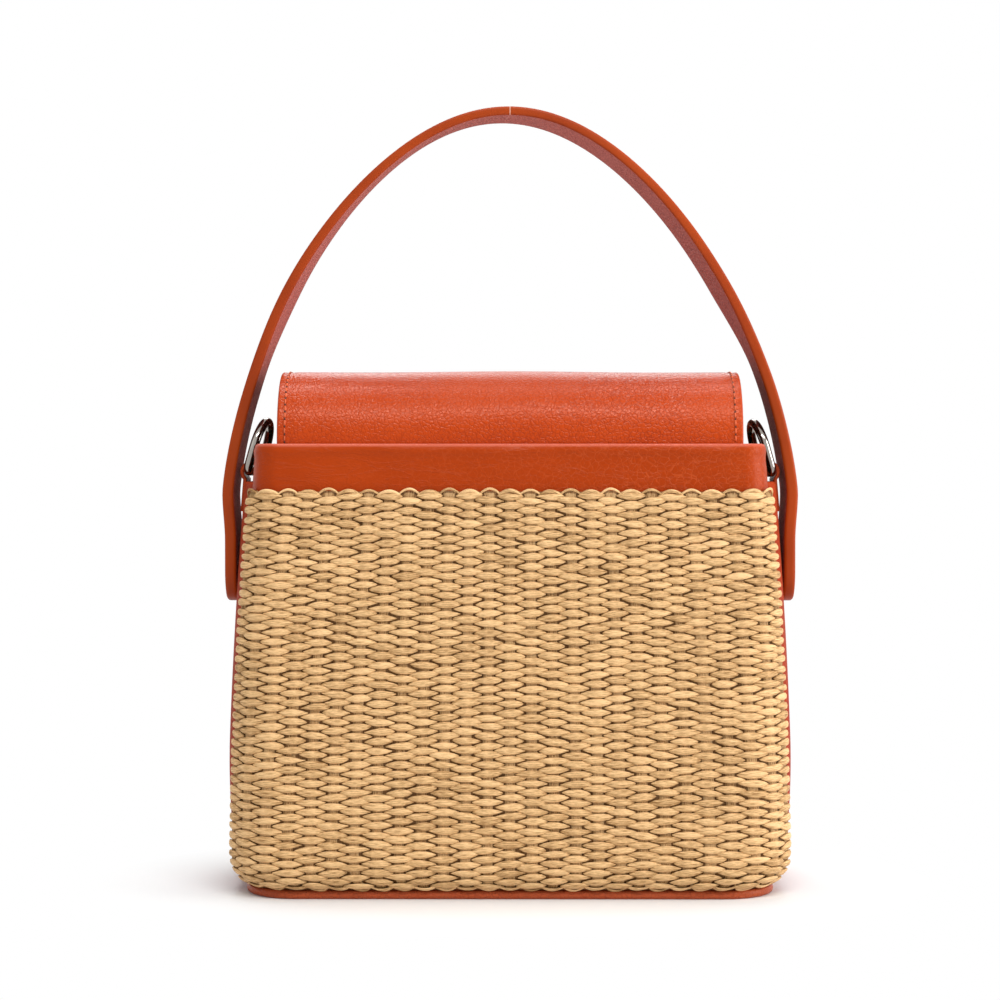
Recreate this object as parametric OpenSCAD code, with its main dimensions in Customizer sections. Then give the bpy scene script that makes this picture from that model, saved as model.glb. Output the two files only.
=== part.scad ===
// Raffia handbag: woven panels on a tapered leather body, a stitched flap over the top,
// one upright strap handle and a metal strap ring on each side.
// Lengths are millimetres. The origin is the centre of the base's underside, +X runs along the
// bag's width, +Y to its front, where the flap closes, and +Z up.

/* [Body] */
// Width of the leather body at its base
body_w = 211; // [180:1:250]
// Width of the leather body at the top of the weave
body_top_w = 196.6; // [170:0.2:230]
// Depth of the leather body at its base
body_d = 90.8; // [76:0.2:110]
// Depth of the leather body at the top of the weave
body_top_d = 78.8; // [70:0.2:95]
// Height of the top of the weave
weave_top = 154; // [125:1:185]
// How late the sides draw in: 1 is a straight taper
taper_power = 1.8; // [1:0.1:2.4]
// Radius of the upright corners at the base
corner_r = 20; // [15:0.5:26]
// Radius of the upright corners at the collar's top
collar_corner_r = 9; // [6:0.5:11]
// Angle of each upright corner that the walls wrap
corner_turn = 80; // [60:1:84]
// Radius under the lower edges
foot_r = 16; // [12:0.5:20]
// Outward swell of the soft side panels
side_swell = 4.6; // [2:0.1:6]
// Height at which the side panels reach their full swell
swell_h = 60; // [45:1:80]
// Share of a side panel's half depth that stays flat under the strap
flat_share = 0.5; // [0.46:0.01:0.6]
// Thickness of the leather walls
wall_t = 2.4; // [1.8:0.1:3]

/* [Top edge] */
// Height of the leather collar above the weave
collar_h = 18; // [14:0.5:24]
// Height of the side panels above the weave
gusset_h = 3.5; // [2:0.5:6]
// Length of the flap's strip that is sewn inside the collar
root_h = 19; // [14:0.5:24]

/* [Base] */
// Thickness of the leather base
base_t = 3.4; // [2.6:0.1:4.4]
// How far the base stands out past the leather walls
base_lip = 2; // [1:0.1:2.6]
// Thickness of the stiffening board
board_t = 2; // [1.5:0.1:3]
// Thickness of the cloth lining
lining_t = 0.8; // [0.6:0.1:1.2]

/* [Weave] */
// Columns of floats across one woven panel
weave_columns = 22; // [16:2:28]
// Floats in one column
weave_rows = 21; // [18:1:26]
// Thickness of the weave at the crown of a float
weave_t = 2.3; // [1.8:0.1:3]
// Depth of the groove between two floats of a column
groove_depth = 0.9; // [0.5:0.1:1.1]
// Depth of the hollow between two columns
hollow_depth = 1.3; // [0.8:0.1:1.4]
// Thickness of the weave at its bound upper and lower edges
weave_edge_t = 1.2; // [0.8:0.1:1.6]

/* [Flap] */
// Width of the flap
flap_w = 176.6; // [150:0.2:182]
// Height of the flap's top above the ground
flap_top = 200; // [192:1:230]
// Thickness of the flap's outer leather
flap_t = 1.7; // [1.2:0.1:2.2]
// Thickness of the flap's inner layer
flap_lining_t = 1.2; // [0.8:0.1:1.6]
// Radius of the bend at the rear of the flap
rear_bend_r = 24; // [16:0.5:25]
// Radius of the bend at the front of the flap
front_bend_r = 20; // [14:0.5:24]
// Height of the flap's lower edge at the front
flap_end = 96; // [80:1:120]
// Radius of the flap's lower corners
flap_corner_r = 20; // [12:1:30]
// Gap that the closed snap keeps between the weave and the flap
flap_standoff = 3.6; // [3:0.1:4.5]

/* [Snap] */
// Radius of the magnetic snap
snap_r = 7; // [5:0.5:9]
// Height of the snap's centre
snap_z = 114; // [106:1:124]
// Thickness of the half on the body
socket_t = 2; // [1.5:0.1:2.3]

/* [Handle] */
// Height of the top of the handle
handle_top = 303; // [260:1:340]
// Height of the handle's widest point above its rivets
hip_rise = 30.5; // [23:0.5:44]
// How far the handle bows out past its riveted ends
handle_bow = 1; // [0.2:0.1:4]
// Width of the strap
strap_w = 24; // [18:0.5:26]
// Thickness of the strap at its ends
strap_t = 4.4; // [3.6:0.1:5]
// Thickness of the strap at the top of the arch
strap_top_t = 3.4; // [3:0.1:4.2]
// Distance of the rivets that the handle turns on below the top of the weave
pivot_drop = 31.5; // [26:0.5:36]

/* [Rivets] */
// Radius of a rivet's shank
shank_r = 2; // [1.5:0.1:2.5]
// Radius of a rivet's head
head_r = 4.5; // [3.5:0.1:6]
// Thickness of a rivet's head and of its inner cap
head_t = 1; // [0.8:0.1:1.4]

/* [Rings] */
// Width of a strap ring between the middles of its sides
ring_w = 21; // [18:0.5:24]
// Height of a strap ring between the middles of its bar and top
ring_h = 20.2; // [16:0.2:22]
// Radius of the ring's wire
wire_r = 1.8; // [1.4:0.1:2]
// Lean of a ring towards the bag's middle
ring_lean = 16; // [8:1:24]
// Turn of a ring in its loose leather loop
ring_yaw = 6; // [0:0.5:7]
// Width of the leather loop
tab_w = 15; // [12:0.5:16]
// Thickness of the loop's leather
tab_t = 1.5; // [1:0.1:1.8]
// Length of the loop's legs on the side panel
tab_leg = 12; // [8:0.5:16]

/* [Clearances] */
// Gap between glued or sewn layers
glue_gap = 0.3; // [0.2:0.05:0.35]
// Gap between pieces that move past each other
move_gap = 0.4; // [0.3:0.05:0.6]
// Gap between the side panels and the strap's ends
strap_gap = 0.46; // [0.3:0.02:0.8]
// Radial gap between a rivet's shank and the strap
bore_gap = 0.08; // [0.04:0.01:0.1]
// Gap at the seams between walls and side panels
seam_gap = 0.3; // [0.2:0.05:0.5]
// Radial room round a ring's bar in its leather loop
loop_gap = 1.1; // [1:0.05:1.4]
// Least room between a ring's leather loop and the strap outside it
loop_room = 1.6; // [1:0.1:3]

/* [Hidden] */
$fn = 48;

leather = [0.78, 0.28, 0.12];
dark_leather = [0.6, 0.2, 0.09];
raffia = [0.85, 0.68, 0.45];
cloth = [0.72, 0.62, 0.5];
board = [0.55, 0.5, 0.45];
metal = [0.55, 0.53, 0.5];

// Enough to cut right through a face that is flush with the cutter
past = 1;
pivot_z = weave_top - pivot_drop;
collar_top = weave_top + collar_h;
gusset_top = weave_top + gusset_h;
lining_top = gusset_top - tab_leg - move_gap;
board_z = base_t + board_t;
floor_z = board_z + glue_gap;
weave_foot = base_t + move_gap;
wall_slope = (body_d - body_top_d) / 2 / weave_top;
wall_angle = atan(wall_slope);

// Heights at which every wall is sampled: close together round the foot, then far apart
wall_steps = 3;
shared_z = concat(
    [for (a = [0 : 15 : 90]) foot_r * (1 - cos(a))],
    [for (i = [1 : wall_steps - 1]) foot_r + (weave_top - foot_r) * i / wall_steps]);
function levels(low, high) = concat(
    [low], [for (z = shared_z) if (z > low + move_gap && z < high - move_gap) z], [high]);

// Half width and half depth of the leather body at a height, drawn in round the foot
function foot_in(z) = z >= foot_r ? 0 : foot_r - sqrt(foot_r * foot_r - pow(foot_r - z, 2));
function half_w(z) = body_w / 2 - foot_in(z)
    - (body_w - body_top_w) / 2 * pow(z / weave_top, taper_power);
function half_d(z) = body_d / 2 - foot_in(z) - wall_slope * z;
function corner(z) = corner_r - (corner_r - collar_corner_r) * z / collar_top;
function swell(z) = side_swell * sin(90 * min(1, z / swell_h));
function side_x(z) = half_w(z) + swell(z);

// Point on a broad wall's corner arc, turned by a signed angle from the flat
function arc_point(turn, z, out, side) = [
    side * (half_w(z) - corner(z) + (corner(z) + out) * sin(turn)),
    -(half_d(z) - corner(z) + (corner(z) + out) * cos(turn)), z];

// Point on a broad wall at a signed share of the length from its middle to its edge
function wrap_point(share, z, out) =
    let (flat = half_w(z) - corner(z),
         arc = corner(z) * corner_turn * PI / 180,
         run = abs(share) * (flat + arc),
         side = share < 0 ? -1 : 1)
    run <= flat ? [side * run, -(half_d(z) + out), z]
                : arc_point((run - flat) / corner(z) * 180 / PI, z, out, side);

// Angles at which the corner arcs are sampled
corner_steps = 4;
corner_angles = [for (i = [0 : corner_steps]) corner_turn * i / corner_steps];

// One side of a broad wall at a height, from left to right
function wall_line(z, out) = concat(
    [for (i = [corner_steps : -1 : 0]) arc_point(corner_angles[i], z, out, -1)],
    [for (turn = corner_angles) arc_point(turn, z, out, 1)]);

// One face of the right side panel at a height, from rear to front, and swelling between corners
function seam_turn(z) = 90 - corner_turn - seam_gap / corner(z) * 180 / PI;
side_shares = [-1, -(1 + flat_share) / 2, -flat_share, flat_share, (1 + flat_share) / 2, 1];
function swell_share(s) = sin(90 * min(1, (1 - abs(s)) / (1 - flat_share)));
function side_end(z, out, face) = [
    half_w(z) - corner(z) + (corner(z) + out) * cos(seam_turn(z)),
    face * (half_d(z) - corner(z) + (corner(z) + out) * sin(seam_turn(z))), z];
function side_line(z, out) = concat(
    [side_end(z, out, -1)],
    [for (s = side_shares)
        [half_w(z) + out + swell(z) * swell_share(s), s * (half_d(z) - corner(z)), z]],
    [side_end(z, out, 1)]);

function flip_x(points) = [for (p = points) [-p[0], p[1], p[2]]];
function flip_y(points) = [for (p = points) [p[0], -p[1], p[2]]];
function reverse(points) = [for (i = [len(points) - 1 : -1 : 0]) points[i]];

// Whole outline of the body at a height, anticlockwise from above
function body_loop(z, out) = concat(
    wall_line(z, out), side_line(z, out),
    reverse(flip_y(wall_line(z, out))), reverse(flip_x(side_line(z, out))));

// Two triangles of a quad with corners a, b, c and d, split along its shorter diagonal, so that
// faces that lie together split alike
function quad(points, a, b, c, d) =
    norm(points[a] - points[c]) <= norm(points[b] - points[d]) ? [[a, b, c], [a, c, d]]
                                                               : [[a, b, d], [b, c, d]];

// Solid through a stack of closed rings with equal counts of points, each anticlockwise from above.
// A folded ring runs along one face of a wall and back along the other, and strips close its ends
module ring_stack(rings, folded = false) {
    count = len(rings[0]);
    last = len(rings) - 1;
    points = [for (ring = rings) for (p = ring) p];
    top_ring = last * count;
    folds = count / 2 - 2;
    sides = [for (k = [0 : last - 1]) for (i = [0 : count - 1])
        let (j = (i + 1) % count, a = k * count, b = a + count)
        each quad(points, a + i, b + i, b + j, a + j)];
    foot = folded ? [for (i = [0 : folds]) each quad(points, i, i + 1, count - 2 - i, count - 1 - i)]
                  : [[for (i = [0 : count - 1]) i]];
    top = folded ? [for (i = [0 : folds]) let (t = top_ring + i, u = top_ring + count - 1 - i)
                       each quad(points, t + 1, t, u, u - 1)]
                 : [[for (i = [count - 1 : -1 : 0]) top_ring + i]];
    polyhedron(points, concat(foot, sides, top), convexity = 8);
}

// Strip of a given thickness on either side of a centre line in a plane
function unit(v) = v / norm(v);
function normal_at(line, i) =
    let (t = unit(line[min(i + 1, len(line) - 1)] - line[max(i - 1, 0)])) [-t[1], t[0]];
function offset_line(line, outs) = [for (i = [0 : len(line) - 1]) line[i] + outs[i] * normal_at(line, i)];
function strip(line, lefts, rights) = concat(offset_line(line, lefts), reverse(offset_line(line, rights)));
function same(value, line) = [for (p = line) value];
function arc_line(centre, r, from, to, steps) = [for (i = [0 : steps])
    let (a = from + (to - from) * i / steps) centre + r * [cos(a), sin(a)]];

// Extrusion of a profile drawn in the Y-Z plane, centred on X
module across_x(width) {
    translate([-width / 2, 0, 0])
        rotate([90, 0, 90])
            linear_extrude(width) children();
}

// Extrusion of a profile drawn in the X-Z plane, centred on Y
module across_y(width) {
    translate([0, width / 2, 0])
        rotate([90, 0, 0])
            linear_extrude(width) children();
}

module both_sides(side) {
    if (side < 0)
        mirror([1, 0, 0]) children();
    else
        children();
}

module rounded_rect(w, d, r) {
    square([w - 2 * r, d], center = true);
    square([w, d - 2 * r], center = true);
    for (x = [-1, 1], y = [-1, 1])
        translate([x * (w / 2 - r), y * (d / 2 - r)]) circle(r);
}

module base() {
    color(dark_leather)
        linear_extrude(base_t)
            rounded_rect(2 * (half_w(base_t) + base_lip), 2 * (half_d(base_t) + base_lip), corner_r);
}

// The board lies on the base, inside the walls
module base_board() {
    inset = wall_t + glue_gap + seam_gap;
    color(board)
        translate([0, 0, base_t])
            linear_extrude(board_t)
                rounded_rect(2 * (half_w(base_t) - inset), 2 * (half_d(base_t) - inset), corner_r - inset);
}

// Broad wall with the collar above the weave, drawn on the rear
module broad_wall() {
    ring_stack([for (z = levels(base_t, collar_top))
        concat(wall_line(z, 0), reverse(wall_line(z, -wall_t)))], folded = true);
}

module rear_wall() {
    color(leather) broad_wall();
}

module front_wall() {
    color(leather) mirror([0, 1, 0]) broad_wall();
}

// Bore along X at the handle's pivot
module pivot_bore(r) {
    translate([body_w / 4, 0, pivot_z])
        rotate([0, 90, 0]) cylinder(h = body_w, r = r);
}

module gusset(side) {
    color(dark_leather)
        both_sides(side)
            difference() {
                ring_stack([for (z = levels(base_t, gusset_top))
                    concat(side_line(z, 0), reverse(side_line(z, -wall_t)))], folded = true);
                pivot_bore(shank_r + bore_gap);
            }
}

// Woven panel on the rear: floats stand like lenses, in columns that are half a row apart
weave_levels = 2 * weave_rows;
weave_halves = 2 * weave_columns;
weave_back = glue_gap;
function float_at(i, k) = (k + (i - 1) / 2) % 2 == 0;
function weave_out(i, k) = weave_back + (k % weave_levels == 0 ? weave_edge_t
    : weave_t - (i % 2 == 0 ? hollow_depth : float_at(i, k) ? 0 : groove_depth));
function weave_z(k) = weave_foot + (weave_top - weave_foot) * k / weave_levels;
function weave_ring(k) = concat(
    [for (i = [0 : weave_halves]) wrap_point(2 * i / weave_halves - 1, weave_z(k), weave_out(i, k))],
    reverse(wall_line(weave_z(k), weave_back)));

// Two triangles of the woven face, split so that each float keeps its lens outline
function weave_quad(i, k, a, b) =
    let (centre = i % 2 == 0 ? i + 1 : i, rising = float_at(centre, k) == (i % 2 == 0))
    rising ? [[a + i, b + i, b + i + 1], [a + i, b + i + 1, a + i + 1]]
           : [[a + i, b + i, a + i + 1], [a + i + 1, b + i, b + i + 1]];

// Share of a wall's length at a point of its line, and at the middle of a span of the face or back
line_count = len(wall_line(0, 0));
function line_share(j, z) =
    let (left = j <= corner_steps,
         turn = corner_angles[left ? corner_steps - j : j - corner_steps - 1],
         flat = half_w(z) - corner(z))
    (left ? -1 : 1) * (flat + corner(z) * turn * PI / 180) / (flat + corner(z) * corner_turn * PI / 180);
function back_middle(j, z) = (line_share(j, z) + line_share(j + 1, z)) / 2;
function face_middle(i) = (2 * i + 1) / weave_halves - 1;

// Triangles that close an end of the weave, in step along its face and its back
function end_strip(z, count) =
    let (backs = [for (j = [0 : line_count - 2]) back_middle(j, z)],
         faces = [for (i = [0 : weave_halves - 1]) face_middle(i)])
    concat(
        [for (i = [0 : weave_halves - 1])
            let (j = len([for (m = backs) if (m < faces[i]) m])) [i, i + 1, count - 1 - j]],
        [for (j = [0 : line_count - 2])
            let (i = len([for (m = faces) if (m <= backs[j]) m])) [i, count - 2 - j, count - 1 - j]]);

module woven_panel() {
    count = weave_halves + 1 + line_count;
    points = [for (k = [0 : weave_levels]) for (p = weave_ring(k)) p];
    face = [for (k = [0 : weave_levels - 1]) for (i = [0 : weave_halves - 1])
        each weave_quad(i, k, k * count, (k + 1) * count)];
    back = [for (k = [0 : weave_levels - 1]) for (i = [weave_halves : count - 1])
        let (j = (i + 1) % count, a = k * count, b = a + count)
        each quad(points, a + i, b + i, b + j, a + j)];
    foot = end_strip(weave_foot, count);
    top = [for (t = end_strip(weave_top, count)) [for (v = reverse(t)) weave_levels * count + v]];
    polyhedron(points, concat(foot, face, back, top), convexity = 8);
}

module rear_weave() {
    color(raffia) woven_panel();
}

module front_weave() {
    color(raffia) mirror([0, 1, 0]) woven_panel();
}

// Cloth bag inside the walls: up the outside, over the edge and down to the floor
module lining() {
    outer = wall_t + glue_gap;
    inner = outer + lining_t;
    wall_levels = levels(floor_z, lining_top);
    inner_levels = levels(floor_z + lining_t, lining_top);
    color(cloth)
        difference() {
            ring_stack(concat(
                [for (z = wall_levels) body_loop(z, -outer)],
                [for (i = [len(inner_levels) - 1 : -1 : 0]) body_loop(inner_levels[i], -inner)]));
            for (side = [-1, 1])
                both_sides(side) pivot_bore(shank_r + bore_gap);
        }
}

// The flap's line runs up from the collar, over the top and down the front
root_out = wall_t + glue_gap;
root_t = flap_t + flap_lining_t;
root_low = collar_top - root_h;
hinge_z = collar_top + move_gap;
riser_y = -(half_d(collar_top) - root_out - flap_t);
crest_z = flap_top - flap_t;
drop_out = weave_back + weave_t + flap_standoff + flap_lining_t;
front_arc_z = crest_z - front_bend_r;
front_arc_y = half_d(front_arc_z + front_bend_r * sin(wall_angle)) + drop_out
    - front_bend_r * cos(wall_angle);
bend_steps = 8;
flap_line = concat(
    [[riser_y, hinge_z]],
    arc_line([riser_y + rear_bend_r, crest_z - rear_bend_r], rear_bend_r, 180, 90, bend_steps),
    arc_line([front_arc_y, front_arc_z], front_bend_r, 90, wall_angle, bend_steps),
    [[half_d(flap_end) + drop_out, flap_end]]);

// Rounded outline of the flap's lower end, seen from the front
module flap_cut() {
    across_y(2 * body_d)
        union() {
            translate([-flap_w / 2, flap_end + flap_corner_r])
                square([flap_w, flap_top - flap_end]);
            translate([-flap_w / 2 + flap_corner_r, flap_end - past])
                square([flap_w - 2 * flap_corner_r, flap_corner_r + 2 * past]);
            for (x = [-1, 1])
                translate([x * (flap_w / 2 - flap_corner_r), flap_end + flap_corner_r])
                    circle(flap_corner_r);
        }
}

module flap() {
    color(leather)
        intersection() {
            across_x(flap_w) polygon(strip(flap_line, same(flap_t, flap_line), same(0, flap_line)));
            flap_cut();
        }
}

module flap_lining() {
    color(dark_leather)
        intersection() {
            across_x(flap_w)
                polygon(strip(flap_line, same(0, flap_line), same(-flap_lining_t, flap_line)));
            flap_cut();
        }
}

// The flap's own leather below the bend, sewn to the inside of the rear wall
module flap_root() {
    low_y = -(half_d(root_low) - root_out);
    high_y = -(half_d(collar_top) - root_out);
    color(leather)
        across_x(flap_w)
            polygon([[low_y, root_low], [low_y + root_t, root_low],
                     [high_y + root_t, collar_top], [high_y, collar_top]]);
}

// Magnetic snap between the weave and the flap, square to the sloping front
snap_gap = glue_gap / 2;
snap_seat = weave_back + weave_t + snap_gap;
stud_t = flap_standoff - socket_t - 3 * snap_gap;
module snap_half(out, t) {
    translate([0, half_d(snap_z) + out * cos(wall_angle), snap_z + out * sin(wall_angle)])
        rotate([wall_angle - 90, 0, 0]) cylinder(h = t, r = snap_r);
}

module snap_socket() {
    color(metal) snap_half(snap_seat, socket_t);
}

module snap_stud() {
    color(metal) snap_half(snap_seat + socket_t + snap_gap, stud_t);
}

// Centre line of the strap in the X-Z plane: upright ends, then an arch whose half width is
// the cosine and whose height is the sine to the power arch_power of one angle
arch_power = 4 / 3;
arch_steps = 20;
leg_steps = 4;
strap_foot = pivot_z - strap_w / 2;
leg_top = pivot_z + strap_w / 2;
strap_seat_x = max(side_x(strap_foot), side_x(leg_top)) + strap_gap;
seat_x = strap_seat_x + strap_t / 2;
loop_r = wire_r + loop_gap;
loop_x = side_x(gusset_top) - wall_t / 2 + loop_r + tab_t;
hip_x = max(seat_x + handle_bow, loop_x + loop_room + strap_t / 2);
handle_w = 2 * hip_x + strap_t;
handle_hip = pivot_z + hip_rise;
function ease(s) = s * s * (3 - 2 * s);
function strap_thickness(a) = strap_top_t + (strap_t - strap_top_t) * (1 - sin(a));
right_leg = concat(
    [[seat_x, strap_foot]],
    [for (i = [0 : leg_steps - 1])
        [seat_x + (hip_x - seat_x) * ease(i / leg_steps), leg_top + (handle_hip - leg_top) * i / leg_steps]]);
arch_angles = [for (i = [0 : 2 * arch_steps]) 90 * i / arch_steps];
arch = [for (a = arch_angles)
    [hip_x * cos(a), handle_hip + (handle_top - strap_top_t / 2 - handle_hip) * pow(sin(a), arch_power)]];
strap_line = concat(right_leg, arch, [for (p = reverse(right_leg)) [-p[0], p[1]]]);
strap_halves = concat(
    same(strap_t / 2, right_leg),
    [for (a = arch_angles) strap_thickness(a) / 2],
    same(strap_t / 2, right_leg));

// Side view of the strap: round ends about the rivets
module strap_side() {
    translate([-strap_w / 2, pivot_z]) square([strap_w, handle_top - pivot_z + past]);
    translate([0, pivot_z]) circle(strap_w / 2);
}

recess_x = strap_seat_x + strap_t - head_t + bore_gap;
module rivet_room() {
    translate([strap_seat_x - past, 0, pivot_z])
        rotate([0, 90, 0]) cylinder(h = strap_t + 2 * past, r = shank_r + bore_gap);
    translate([recess_x - 2 * bore_gap, 0, pivot_z])
        rotate([0, 90, 0]) cylinder(h = head_t + past, r = head_r + glue_gap);
}

module handle() {
    color(leather)
        difference() {
            intersection() {
                across_y(strap_w)
                    polygon(strip(strap_line, strap_halves, -strap_halves));
                across_x(handle_w + 2 * past) strap_side();
            }
            for (side = [-1, 1])
                both_sides(side) rivet_room();
        }
}

// Rivet with its head let into the strap, and the cap on its inner end
cap_x = min(side_x(pivot_z - head_r), side_x(pivot_z + head_r)) - wall_t - lining_t - 2 * glue_gap;
module rivet(side) {
    color(metal)
        both_sides(side)
            translate([0, 0, pivot_z])
                rotate([0, 90, 0]) {
                    translate([0, 0, cap_x - head_t])
                        cylinder(h = recess_x + head_t / 2 - cap_x + head_t, r = shank_r);
                    translate([0, 0, recess_x]) cylinder(h = head_t, r = head_r);
                }
}

module rivet_cap(side) {
    color(metal)
        both_sides(side)
            translate([cap_x - head_t, 0, pivot_z])
                rotate([0, 90, 0])
                    difference() {
                        cylinder(h = head_t, r = head_r);
                        translate([0, 0, -past]) cylinder(h = head_t + 2 * past, r = shank_r + bore_gap / 2);
                    }
}

// The leather loop sits astride the side panel's top edge and leans in with it
bar_rise = loop_r + tab_t / 2;
tab_lean = atan((side_x(gusset_top - tab_leg) - side_x(gusset_top)) / tab_leg);
module on_gusset_edge() {
    translate([side_x(gusset_top) - wall_t / 2, 0, gusset_top])
        rotate([0, -tab_lean, 0]) children();
}

module ring_tab(side) {
    slot = wall_t + 2 * glue_gap;
    color(leather)
        both_sides(side)
            on_gusset_edge()
                across_y(tab_w)
                    difference() {
                        union() {
                            translate([0, bar_rise]) circle(loop_r + tab_t);
                            translate([-slot / 2 - tab_t, -tab_leg])
                                square([slot + 2 * tab_t, tab_leg + bar_rise]);
                        }
                        translate([0, bar_rise]) circle(loop_r);
                        translate([-slot / 2, -tab_leg - past]) square([slot, tab_leg + past + glue_gap]);
                    }
}

// Ring with a straight bar, two straight sides and a round top
module wire(from, to) {
    span = to - from;
    translate(from)
        rotate([0, acos(span[2] / norm(span)), atan2(span[1], span[0])])
            cylinder(h = norm(span), r = wire_r);
}

module ring(side) {
    half = ring_w / 2;
    shoulder = ring_h - half;
    color(metal)
        both_sides(side)
            on_gusset_edge()
                translate([0, 0, bar_rise])
                    rotate([0, 0, ring_yaw])
                        rotate([0, tab_lean - ring_lean, 0]) {
                            wire([0, -half, 0], [0, half, 0]);
                            for (y = [-half, half]) {
                                translate([0, y, 0]) sphere(wire_r);
                                wire([0, y, 0], [0, y, shoulder]);
                            }
                            translate([0, 0, shoulder])
                                rotate([90, 0, 90])
                                    rotate_extrude(angle = 180) translate([half, 0]) circle(wire_r);
                        }
}

base();
base_board();
rear_wall();
front_wall();
gusset(-1);  // left_gusset
gusset(1);  // right_gusset
rear_weave();
front_weave();
lining();
flap_root();
flap();
flap_lining();
snap_socket();
snap_stud();
handle();
rivet(-1);  // left_rivet
rivet(1);  // right_rivet
rivet_cap(-1);  // left_rivet_cap
rivet_cap(1);  // right_rivet_cap
ring(-1);  // left_ring
ring(1);  // right_ring
ring_tab(-1);  // left_ring_tab
ring_tab(1);  // right_ring_tab
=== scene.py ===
"""Dresses the raffia handbag in pebbled leather, woven raffia, cloth and polished metal.

Lengths are millimetres until a mesh is written, which turns them into metres. The frame's origin is
the centre of the base's underside, +X runs along the width, +Y to the front and +Z up.
"""

import logging
import math
from dataclasses import astuple, dataclass, field, replace
from enum import Enum
from typing import Protocol

import bpy
import numpy as np
from mathutils import Matrix, Vector


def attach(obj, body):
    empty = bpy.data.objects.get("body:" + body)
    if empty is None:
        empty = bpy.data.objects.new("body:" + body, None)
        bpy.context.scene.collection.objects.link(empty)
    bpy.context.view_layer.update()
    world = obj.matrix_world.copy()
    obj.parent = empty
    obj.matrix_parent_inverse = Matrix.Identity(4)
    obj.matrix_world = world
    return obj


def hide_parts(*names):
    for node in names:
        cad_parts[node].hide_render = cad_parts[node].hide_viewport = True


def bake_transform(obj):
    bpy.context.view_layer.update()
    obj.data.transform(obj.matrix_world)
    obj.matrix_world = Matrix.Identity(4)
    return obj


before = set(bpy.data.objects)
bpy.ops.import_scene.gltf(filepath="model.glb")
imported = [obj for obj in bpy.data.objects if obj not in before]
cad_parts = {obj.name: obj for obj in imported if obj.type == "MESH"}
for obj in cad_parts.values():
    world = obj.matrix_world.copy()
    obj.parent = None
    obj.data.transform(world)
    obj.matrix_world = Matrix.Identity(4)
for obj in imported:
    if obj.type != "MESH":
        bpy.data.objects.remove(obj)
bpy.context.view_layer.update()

MM = 0.001
LOG = logging.getLogger("handbag")


# Surfaces


@dataclass
class Surface:
    """Points in millimetres with the faces between them, and what a material reads from them."""

    points: np.ndarray
    faces: list[np.ndarray]
    uv: np.ndarray | None = None
    tone: np.ndarray | None = None

    def flipped(self) -> "Surface":
        """The same surface with every face turned round."""
        return replace(self, faces=[f[:, ::-1] for f in self.faces])

    def volume(self) -> float:
        """Signed volume: the sum over each face's fan of a . (b x c) / 6."""
        total = 0.0
        for f in self.faces:
            for k in range(1, f.shape[1] - 1):
                a, b, c = (self.points[f[:, i]] for i in (0, k, k + 1))
                total += float(np.einsum("ij,ij->", a, np.cross(b, c))) / 6
        return total

    def outward(self) -> "Surface":
        """The surface with its faces pointing out of the space that it closes."""
        return self.flipped() if self.volume() < 0 else self

    def mirrored(self, axis: int) -> "Surface":
        """The surface reflected in the plane through the origin square to an axis."""
        points = self.points.copy()
        points[:, axis] *= -1
        return replace(self, points=points).flipped()

    def moved(self, matrix: np.ndarray) -> "Surface":
        """The surface carried by a 4 x 4 matrix in millimetres."""
        return replace(self, points=self.points @ matrix[:3, :3].T + matrix[:3, 3])


def joined(parts: list[Surface]) -> Surface:
    """One surface made of several.

    Args:
        parts: Surfaces that all have, or all lack, uv and tone.

    Returns:
        Their points in turn, with each part's faces counted on from the last.
    """
    starts = np.cumsum([0] + [len(p.points) for p in parts[:-1]])
    faces = [f + s for p, s in zip(parts, starts) for f in p.faces]
    has_uv, has_tone = (getattr(parts[0], k) is not None for k in ("uv", "tone"))
    return Surface(
        np.vstack([p.points for p in parts]), faces,
        np.vstack([p.uv for p in parts]) if has_uv else None,
        np.concatenate([p.tone for p in parts]) if has_tone else None)


def tube(grid: np.ndarray, uv: np.ndarray | None = None, tone: np.ndarray | None = None,
         ring: bool = False) -> Surface:
    """Closed tubes through loops of points.

    Each loop joins the next by quads. An open tube's two end loops are folded shut: point i is
    joined to the point as far from the loop's start on its other side.

    Args:
        grid: Points as (tubes, stations, points round a loop, 3).
        uv: Values of the same layout, for the pattern.
        tone: One value a point.
        ring: True where the last loop joins the first.

    Returns:
        The surface, with faces outward.
    """
    count, n, m = grid.shape[:3]
    rows = n if ring else n - 1
    i, j = np.meshgrid(np.arange(rows), np.arange(m), indexing="ij")
    k, l = (i + 1) % n, (j + 1) % m
    side = np.stack([i * m + j, k * m + j, k * m + l, i * m + l], -1).reshape(-1, 4)
    if not ring:
        e = np.arange(m // 2 - 1)
        cap = np.stack([e, e + 1, m - 2 - e, m - 1 - e], -1)
        side = np.vstack([side, cap, (cap + (n - 1) * m)[:, ::-1]])
    starts = (np.arange(count) * n * m)[:, None, None]
    faces = (side[None] + starts).reshape(-1, 4)
    return Surface(
        grid.reshape(-1, 3), [faces],
        None if uv is None else np.broadcast_to(uv, (count, n, m, 2)).reshape(-1, 2),
        None if tone is None else np.broadcast_to(tone, (count, n, m)).reshape(-1)).outward()


def smooth_step(x: np.ndarray | float, low: float, high: float) -> np.ndarray:
    """0 below low and 1 above high, with the cubic 3t^2 - 2t^3 between."""
    t = np.clip((np.asarray(x, float) - low) / (high - low), 0, 1)
    return t * t * (3 - 2 * t)


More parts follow.
